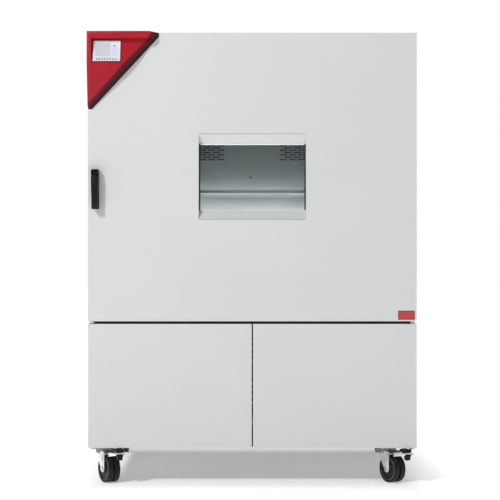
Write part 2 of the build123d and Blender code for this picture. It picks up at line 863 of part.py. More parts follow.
with BuildPart() as hinge_brackets:
    for side in (-1, 1):
        hinge_arm(side, deck_top, arm_thickness, compartment_face + arm_seat)
        hinge_pin(side, deck_top - pin_length)
        hinge_arm(
            side,
            base_underside - bottom_arm_thickness,
            bottom_arm_thickness,
            compartment_face + arm_seat - foot_thickness,
        )
        hinge_pin(side, base_underside)
    hinge_pin(1, deck_top + arm_thickness)
    hinge_arm(1, upper_arm_top - arm_thickness, arm_thickness, collar_face)
    hinge_pin(1, upper_arm_top - arm_thickness - pin_length)
    slab(
        (hinge_x - arm_half_width, hinge_x + arm_half_width),
        (collar_face - foot_thickness, collar_face),
        (upper_arm_top - foot_height, upper_arm_top),
    )
hinge_brackets.part.label = "hinge_brackets"
export_step(hinge_brackets.part, "parts/hinge_brackets.step")

# Door volume: the outside of the door, or its inside when every wall is moved in by the inset
inner_sheet_face = door_back - sheet
pocket_front = 16.0
pocket_side = 14.0
glass_plane_y = door_face + recess_depth
tunnel_width = glass_width + 2 * pane_cover + 2 * seat_clearance
tunnel_height = glass_height + 2 * pane_cover + 2 * seat_clearance


def door_volume(inset):
    with BuildPart() as volume:
        slab(
            (-half_width + inset, half_width - inset),
            (door_face + inset, inner_sheet_face),
            (door_bottom + inset, door_top - inset),
        )
        with BuildSketch(Plane.YZ):
            with BuildLine():
                Polyline(
                    (door_face, window_centre_z - recess_height / 2),
                    (glass_plane_y, window_centre_z - glass_height / 2 - recess_floor_lip),
                    (glass_plane_y, window_centre_z + glass_height / 2 + recess_floor_lip),
                    (door_face, window_centre_z + recess_height / 2),
                    close=True,
                )
            make_face()
            if inset:
                offset(amount=inset, kind=Kind.INTERSECTION)
        extrude(amount=recess_width / 2 + inset, both=True, mode=Mode.SUBTRACT)
        slab(
            (hinge_x - pocket_side - inset, half_width),
            (hinge_y - pocket_front - inset, inner_sheet_face),
            (door_top - pocket_height - inset, door_top),
            mode=Mode.SUBTRACT,
        )
    return volume.part


# Outer panel of the door: one folded skin with the sloping window recess and the hinge pocket
pin_relief_radius = 8.0
door_outside = door_volume(0)
door_inside = door_volume(sheet)

with BuildPart() as door_outer_panel:
    add(door_outside)
    add(door_inside, mode=Mode.SUBTRACT)
    slab(
        (-glass_width / 2, glass_width / 2),
        (door_face, glass_plane_y + 2 * sheet),
        (window_centre_z - glass_height / 2, window_centre_z + glass_height / 2),
        mode=Mode.SUBTRACT,
    )
    with Locations(
        (hinge_x, hinge_y, door_bottom), (hinge_x, hinge_y, door_top - pocket_height)
    ):
        Cylinder(pin_relief_radius, 4 * sheet, mode=Mode.SUBTRACT)
door_outer_panel.part.label = "door_outer_panel"
export_step(door_outer_panel.part, "parts/door_outer_panel.step")

# Pivot blocks that take the hinge pins, one at each end of the door's right edge
pivot_half = 16.0
pivot_spans = (
    (door_bottom + sheet, door_bottom + sheet + pivot_block_height),
    (door_top - pocket_height - sheet - pivot_block_height, door_top - pocket_height - sheet),
)

with BuildPart() as door_pivots:
    for span in pivot_spans:
        slab(
            (hinge_x - pivot_half, half_width - sheet),
            (door_face + sheet, hinge_y + pivot_half),
            span,
        )
        with Locations((hinge_x, hinge_y, (span[0] + span[1]) / 2)):
            Cylinder(bore_radius, 2 * pivot_block_height, mode=Mode.SUBTRACT)
door_pivots.part.label = "door_pivots"
export_step(door_pivots.part, "parts/door_pivots.step")

# Foam core of the door round the window tunnel
with BuildPart() as door_insulation:
    add(door_inside)
    slab(
        (-tunnel_width / 2, tunnel_width / 2),
        (door_face, door_back),
        (window_centre_z - tunnel_height / 2, window_centre_z + tunnel_height / 2),
        mode=Mode.SUBTRACT,
    )
    for span in pivot_spans:
        slab(
            (hinge_x - pivot_half, half_width - sheet),
            (door_face + sheet, hinge_y + pivot_half),
            span,
            mode=Mode.SUBTRACT,
        )
door_insulation.part.label = "door_insulation"
export_step(door_insulation.part, "parts/door_insulation.step")

# Inner panel: a stainless sheet with a raised field inside the gasket and a rim at the window
panel_margin = 2.0
field_rise = 8.0
field_margin = 8.0
gasket_inner_margin = 16.0
gasket_width = 24.0
gasket_corner = 20.0

with BuildPart() as door_inner_panel:
    slab(
        (-half_width + panel_margin, half_width - panel_margin),
        (inner_sheet_face, door_back),
        (door_bottom + panel_margin, door_top - panel_margin),
    )
    slab(
        (-interior_width / 2 + field_margin, interior_width / 2 - field_margin),
        (inner_sheet_face, door_back + field_rise),
        (interior_floor + field_margin, interior_roof - field_margin),
    )
    slab(
        (-interior_width / 2 + field_margin + sheet, interior_width / 2 - field_margin - sheet),
        (inner_sheet_face, door_back + field_rise - sheet),
        (interior_floor + field_margin + sheet, interior_roof - field_margin - sheet),
        mode=Mode.SUBTRACT,
    )
    slab(
        (-glass_width / 2 - sheet, glass_width / 2 + sheet),
        (inner_sheet_face, door_back + field_rise),
        (window_centre_z - glass_height / 2 - sheet, window_centre_z + glass_height / 2 + sheet),
    )
    slab(
        (-glass_width / 2, glass_width / 2),
        (inner_sheet_face, door_back + field_rise),
        (window_centre_z - glass_height / 2, window_centre_z + glass_height / 2),
        mode=Mode.SUBTRACT,
    )
    slab(
        (hinge_x - pocket_side, half_width),
        (inner_sheet_face, door_back),
        (door_top - pocket_height, door_top),
        mode=Mode.SUBTRACT,
    )
door_inner_panel.part.label = "door_inner_panel"
export_step(door_inner_panel.part, "parts/door_inner_panel.step")

# Gasket: a silicone frame that closes on the collar round the mouth of the test space
with BuildPart() as door_gasket:
    with BuildSketch(front_plane(door_back)):
        with Locations((0, interior_centre_z)):
            RectangleRounded(
                interior_width + 2 * (gasket_inner_margin + gasket_width),
                interior_height + 2 * (gasket_inner_margin + gasket_width),
                gasket_corner + gasket_width,
            )
            RectangleRounded(
                interior_width + 2 * gasket_inner_margin,
                interior_height + 2 * gasket_inner_margin,
                gasket_corner,
                mode=Mode.SUBTRACT,
            )
    extrude(amount=-(gasket_gap - seat_clearance))
door_gasket.part.label = "door_gasket"
export_step(door_gasket.part, "parts/door_gasket.step")

# Window: two panes held apart by an aluminium frame in the door's tunnel
outer_pane_back = glass_plane_y + sheet + pane_thickness
inner_pane_front = inner_sheet_face - pane_thickness

for name, back_y in (("outer_pane", outer_pane_back), ("inner_pane", inner_sheet_face)):
    with BuildPart() as pane:
        with BuildSketch(front_plane(back_y)):
            with Locations((0, window_centre_z)):
                Rectangle(glass_width + 2 * pane_cover, glass_height + 2 * pane_cover)
        extrude(amount=pane_thickness)
    pane.part.label = name
    export_step(pane.part, f"parts/{name}.step")

with BuildPart() as window_frame:
    with BuildSketch(front_plane(inner_pane_front)):
        with Locations((0, window_centre_z)):
            Rectangle(glass_width + 2 * pane_cover, glass_height + 2 * pane_cover)
            Rectangle(glass_width, glass_height, mode=Mode.SUBTRACT)
    extrude(amount=inner_pane_front - outer_pane_back)
window_frame.part.label = "window_frame"
export_step(window_frame.part, "parts/window_frame.step")

# Instrument housing: a red three-cornered shell on the door's top left corner. Its front is
# faceted: a rim along the left and the top, a sunk display plane that rises to a ridge, and
# below the ridge a facet that falls to the lower corner. The long side is bevelled.
housing_width = 331.0
housing_height = 358.0
housing_bevel = 25.0
housing_wall = 3.0
housing_tip_radius = 8.0
rim_left = 20.0
rim_top = 29.0
display_plane_sink = 32.0
ridge_drop = 142.0
tip_depth = 12.0
display_run = ridge_drop - rim_top
display_slope = display_plane_sink / display_run
housing_slant = (housing_width**2 + housing_height**2) ** 0.5


def housing_outline(plane, edge_inset, slant_inset):
    """The housing's three-cornered outline with its straight edges and its slant moved in."""
    reach = 1 - slant_inset * housing_slant / (housing_width * housing_height)
    right = housing_width * (reach - edge_inset / housing_height)
    low = housing_height * (reach - edge_inset / housing_width)
    with BuildSketch(plane) as outline:
        with BuildLine():
            Polyline(
                (-half_width + edge_inset, door_top - edge_inset),
                (-half_width + right, door_top - edge_inset),
                (-half_width + edge_inset, door_top - low),
                close=True,
            )
        make_face()
        fillet(outline.vertices().sort_by(Axis.Y)[0], housing_tip_radius)
        fillet(outline.vertices().sort_by(Axis.X)[-1], housing_tip_radius)
    return outline.sketch


def housing_volume(wall):
    """The housing's outside, or the space inside it when every wall is that thick."""
    crest_y = door_face - housing_depth + wall
    ridge_z = door_top - ridge_drop
    with BuildPart() as volume:
        base = housing_outline(front_plane(door_face), wall, wall)
        crest = housing_outline(front_plane(crest_y), wall, wall + housing_bevel)
        loft([base, crest])
        with BuildSketch(Plane.YZ.offset(-half_width + rim_left - wall)):
            with BuildLine():
                Polyline(
                    (crest_y, door_top - rim_top + wall),
                    (crest_y + display_slope * (display_run + wall), door_top - rim_top + wall),
                    (crest_y, ridge_z),
                    close=True,
                )
            make_face()
        extrude(amount=housing_width, mode=Mode.SUBTRACT)
        with BuildSketch(Plane.YZ.offset(-half_width)):
            with BuildLine():
                Polyline(
                    (crest_y, ridge_z),
                    (door_face - tip_depth + wall, door_top - housing_height),
                    (crest_y, door_top - housing_height),
                    close=True,
                )
            make_face()
        extrude(amount=housing_width, mode=Mode.SUBTRACT)
    return volume.part


housing_outside = housing_volume(0)
housing_inside = housing_volume(housing_wall)

with BuildPart() as instrument_housing:
    add(housing_outside)
    add(housing_inside, mode=Mode.SUBTRACT)
instrument_housing.part.label = "instrument_housing"
export_step(instrument_housing.part, "parts/instrument_housing.step")

# Display on the sunk plane of the housing
display_width = 122.0
display_height = 98.0
display_thickness = 2.0
display_centre_x = -651.6
display_centre_drop = 87.3
display_sink = display_slope * (ridge_drop - display_centre_drop)

with BuildPart() as display_screen:
    with BuildSketch(
        Plane(
            (
                display_centre_x,
                door_face - housing_depth + display_sink,
                door_top - display_centre_drop,
            ),
            x_dir=(1, 0, 0),
            z_dir=(0, -1, display_slope),
        )
    ):
        RectangleRounded(display_width, display_height, 4)
    extrude(amount=display_thickness)
display_screen.part.label = "display_screen"
export_step(display_screen.part, "parts/display_screen.step")

# Door handle: a lever hung on a pin in its housing block, pulled outwards at the lower end
handle_inset = 34.0
handle_x = handle_inset - half_width
handle_top = 1420.0
handle_length = 177.0
handle_block_width = 32.0
handle_block_height = 28.0
handle_block_depth = 40.0
handle_slot_width = 18.0
handle_pin_depth = 24.0
handle_tongue_radius = 9.0
handle_pin_radius = 4.0
handle_tip_width = 25.0
handle_grip_thickness = 12.0
handle_reach = 45.0
handle_plate_depth = 4.0
handle_lip = 14.0
handle_block_relief = 7.0
handle_pivot_z = handle_top - handle_block_height / 2
handle_pivot_y = door_face - handle_pin_depth
handle_bottom = handle_top - handle_length
handle_block_bottom = handle_top - handle_block_height
grip_front = door_face - handle_reach
grip_back = grip_front + handle_grip_thickness

with BuildPart() as handle_housing:
    with BuildSketch(Plane.YZ.offset(handle_x)):
        with BuildLine():
            Polyline(
                (door_face, handle_top),
                (door_face, handle_bottom),
                (door_face - handle_plate_depth, handle_bottom),
                (door_face - handle_plate_depth, handle_block_bottom),
                (grip_back + 1, handle_block_bottom),
                (door_face - handle_block_depth, handle_block_bottom + handle_block_relief),
                (door_face - handle_block_depth, handle_top),
                close=True,
            )
        make_face()
    extrude(amount=handle_block_width / 2, both=True)
    slab(
        (handle_x - handle_slot_width / 2, handle_x + handle_slot_width / 2),
        (door_face - handle_block_depth, handle_pivot_y + handle_tongue_radius + pocket_clearance),
        (handle_block_bottom, handle_pivot_z + handle_tongue_radius + pocket_clearance),
        mode=Mode.SUBTRACT,
    )
    with Locations(Plane.YZ.offset(handle_x)):
        with Locations((handle_pivot_y, handle_pivot_z, 0)):
            Cylinder(handle_pin_radius + running_clearance, handle_block_width - 8, mode=Mode.SUBTRACT)
handle_housing.part.label = "handle_housing"
export_step(handle_housing.part, "parts/handle_housing.step")

with BuildPart() as door_handle:
    with BuildSketch(Plane.YZ.offset(handle_x)):
        with Locations((handle_pivot_y, handle_pivot_z)):
            Circle(handle_tongue_radius)
        with BuildLine():
            Polyline(
                (handle_pivot_y - handle_tongue_radius, handle_pivot_z),
                (handle_pivot_y + handle_tongue_radius, handle_pivot_z),
                (handle_pivot_y + handle_tongue_radius, handle_block_bottom - pocket_clearance),
                (grip_back, handle_block_bottom - handle_lip),
                (grip_front, handle_block_bottom - handle_lip),
                (grip_front, handle_block_bottom - pocket_clearance),
                (handle_pivot_y - handle_tongue_radius, handle_block_bottom - pocket_clearance),
                close=True,
            )
        make_face()
    extrude(amount=handle_slot_width / 2 - pocket_clearance, both=True)
    with BuildSketch(front_plane(grip_back)):
        with BuildLine():
            Polyline(
                (handle_x - handle_block_width / 2, handle_block_bottom - pocket_clearance),
                (handle_x + handle_block_width / 2, handle_block_bottom - pocket_clearance),
                (handle_x + handle_tip_width / 2, handle_bottom),
                (handle_x - handle_tip_width / 2, handle_bottom),
                close=True,
            )
        make_face()
    extrude(amount=handle_grip_thickness)
    with BuildSketch(front_plane(grip_back)):
        with Locations((handle_x, handle_bottom + handle_lip / 2)):
            Rectangle(handle_tip_width - 1, handle_lip)
    extrude(amount=-handle_lip)
    with Locations(Plane.YZ.offset(handle_x)):
        with Locations((handle_pivot_y, handle_pivot_z, 0)):
            Cylinder(handle_pin_radius, handle_block_width - 10)
door_handle.part.label = "door_handle"
export_step(door_handle.part, "parts/door_handle.step")

# Latch: a wedge on the door's inner side beside a roller in a keeper on the collar
keeper_inset = 28.0
keeper_x = keeper_inset - half_width
keeper_height = 60.0
keeper_width = 24.0
keeper_plate = 2.0
keeper_ear = 4.0
roller_radius = 3.5
roller_half_length = 16.0
latch_z = 1331.0
latch_thickness = 4.0
latch_gap = 1.0
roller_standoff = 0.5
ear_margin = 0.5
wedge_half_length = roller_half_length - latch_gap

roller_y = collar_face - keeper_plate - roller_radius - roller_standoff

with BuildPart() as latch_keeper:
    slab(
        (keeper_x - keeper_width / 2, keeper_x + keeper_width / 2),
        (collar_face - keeper_plate, collar_face),
        (latch_z - keeper_height / 2, latch_z + keeper_height / 2),
    )
    for side in (-1, 1):
        slab(
            (keeper_x - roller_radius - ear_margin, keeper_x + roller_radius + ear_margin),
            (roller_y - roller_radius - ear_margin, collar_face),
            (latch_z + side * roller_half_length, latch_z + side * (roller_half_length + keeper_ear)),
        )
    with Locations((keeper_x, roller_y, latch_z)):
        Cylinder(roller_radius, 2 * roller_half_length + keeper_ear)
latch_keeper.part.label = "latch_keeper"
export_step(latch_keeper.part, "parts/latch_keeper.step")

with BuildPart() as door_latch:
    wedge_x = keeper_x + roller_radius + latch_gap
    with BuildSketch(Plane.XY.offset(latch_z - wedge_half_length)):
        with BuildLine():
            Polyline(
                (wedge_x, door_back),
                (wedge_x + latch_thickness + 14, door_back),
                (wedge_x + latch_thickness + 14, door_back + 2),
                (wedge_x + latch_thickness, door_back + 2),
                (wedge_x + latch_thickness, door_back + 8),
                (wedge_x + 1, door_back + 10),
                (wedge_x, door_back + 8),
                close=True,
            )
        make_face()
    extrude(amount=2 * wedge_half_length)
door_latch.part.label = "door_latch"
export_step(door_latch.part, "parts/door_latch.step")

# Lower doors: folded pans with pivot lugs inside their outer corners
lug_half = 14.0
lower_door_height = lower_door_top - lower_door_bottom

for side, name in ((-1, "left_lower_door"), (1, "right_lower_door")):
    with BuildPart() as lower_door:
        slab(
            (side * half_width, side * centre_gap / 2),
            (door_face, door_face + lower_door_thickness),
            (lower_door_bottom, lower_door_top),
        )
        slab(
            (side * (half_width - sheet), side * (centre_gap / 2 + sheet)),
            (door_face + sheet, door_face + lower_door_thickness),
            (lower_door_bottom + sheet, lower_door_top - sheet),
            mode=Mode.SUBTRACT,
        )
        for lug_z in (
            (lower_door_bottom, lower_door_bottom + pivot_block_height),
            (lower_door_top - pivot_block_height, lower_door_top),
        ):
            slab(
                (side * (hinge_x - lug_half), side * half_width),
                (door_face, door_face + lower_door_thickness),
                lug_z,
            )
        with Locations((side * hinge_x, hinge_y, (lower_door_bottom + lower_door_top) / 2)):
            Cylinder(bore_radius, 2 * lower_door_height, mode=Mode.SUBTRACT)
    lower_door.part.label = name
    export_step(lower_door.part, f"parts/{name}.step")

# Castor plates: the bolted plates and upper bearing races that stay with the frame
race_radius = 34.0
race_height = 8.0
bolt_head_radius = 8.0
bolt_head_height = 5.0
bolt_spacing = 76.0
plate_bottom = base_underside - castor_plate_thickness

with BuildPart() as castor_plates:
    for castor_x, castor_y in castor_places.values():
        plate_plane = Plane((castor_x, castor_y, plate_bottom))
        with BuildSketch(plate_plane):
            RectangleRounded(castor_plate, castor_plate, 8)
        extrude(amount=castor_plate_thickness)
        with BuildSketch(plate_plane):
            Circle(race_radius)
        extrude(amount=-race_height)
        with BuildSketch(plate_plane):
            with GridLocations(bolt_spacing, bolt_spacing, 2, 2):
                RegularPolygon(bolt_head_radius, 6)
        extrude(amount=-bolt_head_height)
castor_plates.part.label = "castor_plates"
export_step(castor_plates.part, "parts/castor_plates.step")

# Castors: each is laid out in its own plane, X along the axle and -Y towards the wheels
head_radius = 38.0
head_height = 11.0
crown_back = 40.0
crown_front = 38.0
leg_front = 61.0
leg_back = -30.0
leg_tip_radius = 16.0
king_nut_radius = 12.0
king_nut_height = 8.0
hub_bore_clearance = 0.05
hub_radius_castor = 14.0
rim_radius = 50.0
web_sink = 6.0
tread_shoulder = 4.0
wheel_side_gap = 2.0
twin_width = 2 * wheel_width + wheel_spacing
head_top = plate_bottom - race_height - seat_clearance
crown_top = head_top - head_height
crown_bottom = crown_top - fork_sheet
leg_inner = twin_width / 2 + wheel_side_gap

yaw = radians(castor_yaw)
front_axle = (cos(yaw), sin(yaw), 0)
castor_axles = {
    "front_left": front_axle,
    "front_right": front_axle,
    "rear_left": (-1, 0, 0),
    "rear_right": (-1, 0, 0),
}

for name, (castor_x, castor_y) in castor_places.items():
    castor = Plane((castor_x, castor_y, 0), x_dir=castor_axles[name], z_dir=(0, 0, 1))
    with BuildPart() as castor_fork:
        with BuildSketch(castor.offset(crown_top)):
            Circle(head_radius)
        extrude(amount=head_height)
        with BuildSketch(castor.offset(crown_bottom)):
            with Locations((0, (crown_back - crown_front) / 2)):
                RectangleRounded(2 * (leg_inner + fork_sheet), crown_back + crown_front, 10)
        extrude(amount=fork_sheet)
        with BuildSketch(castor.offset(crown_bottom - king_nut_height)):
            RegularPolygon(king_nut_radius, 6)
        extrude(amount=king_nut_height)
        for side in (-1, 1):
            leg_plane = Plane(
                castor.from_local_coords((side * leg_inner, 0, 0)),
                x_dir=castor.y_dir,
                z_dir=side * castor.x_dir,
            )
            turn = leg_plane.y_dir.Z
            with BuildSketch(leg_plane):
                with BuildLine():
                    Polyline(
                        (-leg_back, turn * crown_top),
                        (-leg_front, turn * crown_top),
                        (-leg_front, turn * wheel_radius),
                        (-castor_trail + leg_tip_radius, turn * wheel_radius),
                        close=True,
                    )
                make_face()
                with Locations((-castor_trail - 1, turn * wheel_radius)):
                    Circle(leg_tip_radius)
                with Locations((-pedal_pivot_trail, turn * pedal_press_z)):
                    Circle(pedal_pin_radius + running_clearance, mode=Mode.SUBTRACT)
            extrude(amount=fork_sheet)
        axle_plane = Plane(
            castor.from_local_coords((0, -castor_trail, wheel_radius)),
            x_dir=castor.y_dir,
            z_dir=castor.x_dir,
        )
        with BuildSketch(axle_plane):
            Circle(axle_radius)
        extrude(amount=leg_inner + fork_sheet, both=True)
        for side in (-1, 1):
            with BuildSketch(axle_plane.offset(side * (leg_inner + fork_sheet))):
                RegularPolygon(axle_radius * 1.6, 6)
            extrude(amount=side * axle_radius * 0.8)
    castor_fork.part.label = f"castor_fork_{name}"
    export_step(castor_fork.part, f"parts/castor_fork_{name}.step")

    with BuildPart() as castor_wheels:
        with BuildSketch(Plane(axle_plane.origin, x_dir=castor.x_dir, z_dir=castor.y_dir)):
            with BuildLine():
                Polyline(
                    (-twin_width / 2, hub_radius_castor),
                    (-twin_width / 2 + web_sink, hub_radius_castor),
                    (-twin_width / 2 + web_sink, rim_radius),
                    (-twin_width / 2, rim_radius),
                    (-twin_width / 2, wheel_radius - tread_shoulder),
                    (-twin_width / 2 + tread_shoulder, wheel_radius),
                    (-wheel_spacing / 2 - tread_shoulder, wheel_radius),
                    (-wheel_spacing / 2, wheel_radius - tread_shoulder),
                    (-wheel_spacing / 2, hub_radius_castor),
                    (wheel_spacing / 2, hub_radius_castor),
                    (wheel_spacing / 2, wheel_radius - tread_shoulder),
                    (wheel_spacing / 2 + tread_shoulder, wheel_radius),
                    (twin_width / 2 - tread_shoulder, wheel_radius),
                    (twin_width / 2, wheel_radius - tread_shoulder),
                    (twin_width / 2, rim_radius),
                    (twin_width / 2 - web_sink, rim_radius),
                    (twin_width / 2 - web_sink, hub_radius_castor),
                    (twin_width / 2, hub_radius_castor),
                    (twin_width / 2, axle_radius + hub_bore_clearance),
                    (-twin_width / 2, axle_radius + hub_bore_clearance),
                    close=True,
                )
            make_face()
        revolve(axis=Axis(axle_plane.origin, castor.x_dir))
    castor_wheels.part.label = f"castor_wheels_{name}"
    export_step(castor_wheels.part, f"parts/castor_wheels_{name}.step")

# Brake pedals of the two front castors: an arm on a cross pin, bent down at its tip
pedal_width = 50.0
pedal_sheet = 4.0
pedal_reach = 165.0
pedal_bend = 132.0
pedal_tip_drop = 14.0
pedal_barrel_radius = 6.0

for name in ("front_left", "front_right"):
    castor_x, castor_y = castor_places[name]
    castor = Plane((castor_x, castor_y, 0), x_dir=castor_axles[name], z_dir=(0, 0, 1))
    pedal_plane = Plane(castor.origin, x_dir=castor.y_dir, z_dir=castor.x_dir)
    with BuildPart() as brake_pedal:
        with BuildSketch(pedal_plane):
            with BuildLine():
                Polyline(
                    (-pedal_pivot_trail, pedal_press_z + pedal_sheet / 2),
                    (-pedal_bend, pedal_press_z + pedal_sheet / 2),
                    (-pedal_reach, pedal_press_z + pedal_sheet / 2 - pedal_tip_drop),
                    (-pedal_reach, pedal_press_z - pedal_sheet / 2 - pedal_tip_drop),
                    (-pedal_bend, pedal_press_z - pedal_sheet / 2),
                    (-pedal_pivot_trail, pedal_press_z - pedal_sheet / 2),
                    close=True,
                )
            make_face()
            with Locations((-pedal_pivot_trail, pedal_press_z)):
                Circle(pedal_barrel_radius)
        extrude(amount=pedal_width / 2, both=True)
        with BuildSketch(pedal_plane):
            with Locations((-pedal_pivot_trail, pedal_press_z)):
                Circle(pedal_pin_radius)
        extrude(amount=leg_inner + fork_sheet, both=True)
    brake_pedal.part.label = f"brake_pedal_{name}"
    export_step(brake_pedal.part, f"parts/brake_pedal_{name}.step")
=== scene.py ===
import math

import bpy
from mathutils import Matrix, Vector


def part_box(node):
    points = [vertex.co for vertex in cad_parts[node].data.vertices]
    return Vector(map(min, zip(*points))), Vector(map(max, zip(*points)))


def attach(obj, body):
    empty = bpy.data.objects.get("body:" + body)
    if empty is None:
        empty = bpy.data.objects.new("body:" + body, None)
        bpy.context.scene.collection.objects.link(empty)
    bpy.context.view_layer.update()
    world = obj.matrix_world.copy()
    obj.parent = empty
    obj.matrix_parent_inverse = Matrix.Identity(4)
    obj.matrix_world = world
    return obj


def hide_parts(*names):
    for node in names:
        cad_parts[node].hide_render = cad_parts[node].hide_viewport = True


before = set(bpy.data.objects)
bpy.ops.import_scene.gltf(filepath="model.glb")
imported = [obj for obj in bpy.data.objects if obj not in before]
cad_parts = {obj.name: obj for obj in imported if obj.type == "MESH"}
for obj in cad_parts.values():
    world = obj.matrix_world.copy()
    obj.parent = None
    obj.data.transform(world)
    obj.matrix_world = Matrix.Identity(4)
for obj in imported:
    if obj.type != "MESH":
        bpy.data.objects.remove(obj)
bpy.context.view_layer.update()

# Camera: a long lens level with the cabinet's middle and 6 m from its doors, so the front shows
# nearly square and the sides don't show.
door_face_y = -0.530
camera_distance = 6.0
camera_data = bpy.data.cameras.new("camera")
camera_data.lens = 96
camera_data.sensor_width = 36
camera = bpy.data.objects.new("camera", camera_data)
camera.location = (-0.0106, door_face_y - camera_distance, 1.059)
camera.rotation_euler = (math.radians(90), 0, 0)
bpy.context.collection.objects.link(camera)
bpy.context.scene.camera = camera

# Studio light: a white backdrop that lights the cabinet less than it shows, a large soft light
# from the upper left in front, and a weak one from above and behind.
backdrop_light = 0.21
backdrop_seen = 1.0
world = bpy.data.worlds.new("studio")
world.use_nodes = True
backdrop = world.node_tree.nodes["Background"]
backdrop.inputs["Color"].default_value = (1.0, 1.0, 1.0, 1)
seen = world.node_tree.nodes.new("ShaderNodeLightPath")
dimmed = world.node_tree.nodes.new("ShaderNodeMapRange")
dimmed.inputs["To Min"].default_value = backdrop_light
dimmed.inputs["To Max"].default_value = backdrop_seen
world.node_tree.links.new(seen.outputs["Is Camera Ray"], dimmed.inputs["Value"])
world.node_tree.links.new(dimmed.outputs["Result"], backdrop.inputs["Strength"])
bpy.context.scene.world = world
bpy.context.scene.view_settings.view_transform = "Standard"


def soft_light(name, place, target, size, power):
    """A rectangular light that faces its target."""
    data = bpy.data.lights.new(name, "AREA")
    data.shape = "RECTANGLE"
    data.size, data.size_y = size
    data.energy = power
    light = bpy.data.objects.new(name, data)
    light.location = place
    light.rotation_euler = (Vector(target) - Vector(place)).to_track_quat("-Z", "Y").to_euler()
    bpy.context.collection.objects.link(light)


soft_light("key_softbox", (-5.2, -7.2, 6.6), (0, -0.5, 1.1), (1.2, 1.2), 610)
soft_light("top_softbox", (0.6, 1.8, 4.8), (0, 0.2, 1.6), (1.8, 1.8), 26)

# Floor: a white sweep that glows like a lit studio floor, except under the cabinet, where its
# glow is turned down to a painted shade of the cabinet.


class Term:
    """One output of a finish's nodes, which sums and comparisons take as they take a number."""

    def __init__(self, finish, socket):
        self.finish = finish
        self.socket = socket

    def maths(self, operation, first, second):
        return self.finish.node("ShaderNodeMath", {"operation": operation}, {0: first, 1: second})

    def __add__(self, other):
        return self.maths("ADD", self, other)

    __radd__ = __add__

    def __mul__(self, other):
        return self.maths("MULTIPLY", self, other)

    __rmul__ = __mul__

    def __sub__(self, other):
        return self.maths("SUBTRACT", self, other)

    def __rsub__(self, other):
        return self.maths("SUBTRACT", other, self)

    def __gt__(self, other):
        return self.maths("GREATER_THAN", self, other)

    def __lt__(self, other):
        return self.maths("LESS_THAN", self, other)

    def __mod__(self, other):
        return self.maths("FLOORED_MODULO", self, other)

    def __abs__(self):
        return self.maths("ABSOLUTE", self, 0.0)


class Finish:
    """A material whose shader takes plain numbers, with one method that adds any other node."""

    def __init__(self, name, **plain):
        self.material = bpy.data.materials.new(name)
        self.material.use_nodes = True
        self.tree = self.material.node_tree
        self.shader = self.tree.nodes["Principled BSDF"]
        for key, value in plain.items():
            socket = key.replace("_", " ").title().replace("Ior", "IOR")
            self.shader.inputs[socket].default_value = value

    def node(self, kind, settings=None, inputs=None, output=0):
        """A node with its settings and then its inputs, given as numbers or as terms."""
        made = self.tree.nodes.new(kind)
        for key, setting in (settings or {}).items():
            setattr(made, key, setting)
        for key, value in (inputs or {}).items():
            if isinstance(value, Term):
                self.tree.links.new(value.socket, made.inputs[key])
            else:
                made.inputs[key].default_value = value
        return Term(self, made.outputs[output])

    def feed(self, socket, term):
        """Drives one of the shader's sockets with a term."""
        self.tree.links.new(term.socket, self.shader.inputs[socket])

    def place(self, stretch=(1, 1, 1)):
        """Places on the piece in metres, stretched along each axis."""
        here = self.node("ShaderNodeTexCoord", output=3)
        settings = {"vector_type": "POINT"}
        return self.node("ShaderNodeMapping", settings, {"Vector": here, "Scale": stretch})

    def along(self, axis):
        """The distance along one axis in metres."""
        split = self.node("ShaderNodeSeparateXYZ", None, {0: self.place()})
        return Term(self, split.socket.node.outputs[axis])

    def noise(self, scale, detail=3.0, stretch=(1, 1, 1)):
        """An uneven number around a half, at so many cells a metre."""
        settings = {"noise_dimensions": "3D"}
        inputs = {"Vector": self.place(stretch), "Scale": scale, "Detail": detail}
        return self.node("ShaderNodeTexNoise", settings, inputs)

    def blend(self, amount, first, second):
        """A colour between two, by a number between 0 and 1."""
        first = first if isinstance(first, Term) else (*first, 1)
        second = second if isinstance(second, Term) else (*second, 1)
        inputs = {0: amount, 6: first, 7: second}
        return self.node("ShaderNodeMix", {"data_type": "RGBA"}, inputs, output=2)

    def spread(self, term, low, high):
        """A noise's middle range brought to run from low to high."""
        return self.node("ShaderNodeMapRange", None, {0: term, 1: 0.3, 2: 0.7, 3: low, 4: high})

    def ramp(self, term, start, end):
        """0 up to a start, 1 from an end on, and even between them."""
        return self.node("ShaderNodeMapRange", None, {0: term, 1: start, 2: end, 3: 0.0, 4: 1.0})

    def relief(self, term, height):
        """Bumps of that height in metres."""
        inputs = {"Height": term, "Distance": height, "Strength": 1.0}
        self.feed("Normal", self.node("ShaderNodeBump", None, inputs))

    def on(self, *names):
        """This finish on CAD nodes."""
        for name in names:
            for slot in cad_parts[name].material_slots:
                slot.material = self.material


floor_size = 60
shade_to_side = (0.62, 1.00)
shade_to_front = (0.40, 1.20)
painted_shade_glow = (0.27, 0.27, 0.27)
open_glow = (0.84, 0.84, 0.84)
floor_finish = Finish("studio_floor", roughness=0.9, emission_strength=1.0)
beside = floor_finish.ramp(abs(floor_finish.along(0)), *shade_to_side)
before = floor_finish.ramp(abs(floor_finish.along(1)), *shade_to_front)
# Painted shade: the glow is lower under the cabinet.
glow = beside.maths("MAXIMUM", beside, before)
floor_finish.feed("Emission Color", floor_finish.blend(glow, painted_shade_glow, open_glow))
floor_white = floor_finish.blend(floor_finish.noise(3.0), (0.93, 0.93, 0.93), (0.95, 0.95, 0.95))
floor_finish.feed("Base Color", floor_white)
bpy.ops.object.select_all(action="DESELECT")
bpy.ops.mesh.primitive_plane_add(size=floor_size, location=(0, 0, 0))
floor = bpy.context.active_object
floor.name = "studio_floor"
floor.data.materials.append(floor_finish.material)

# Outer panels of the cabinet: folded sheet steel with a light-grey powder coat, screwed and
# riveted to the frame.


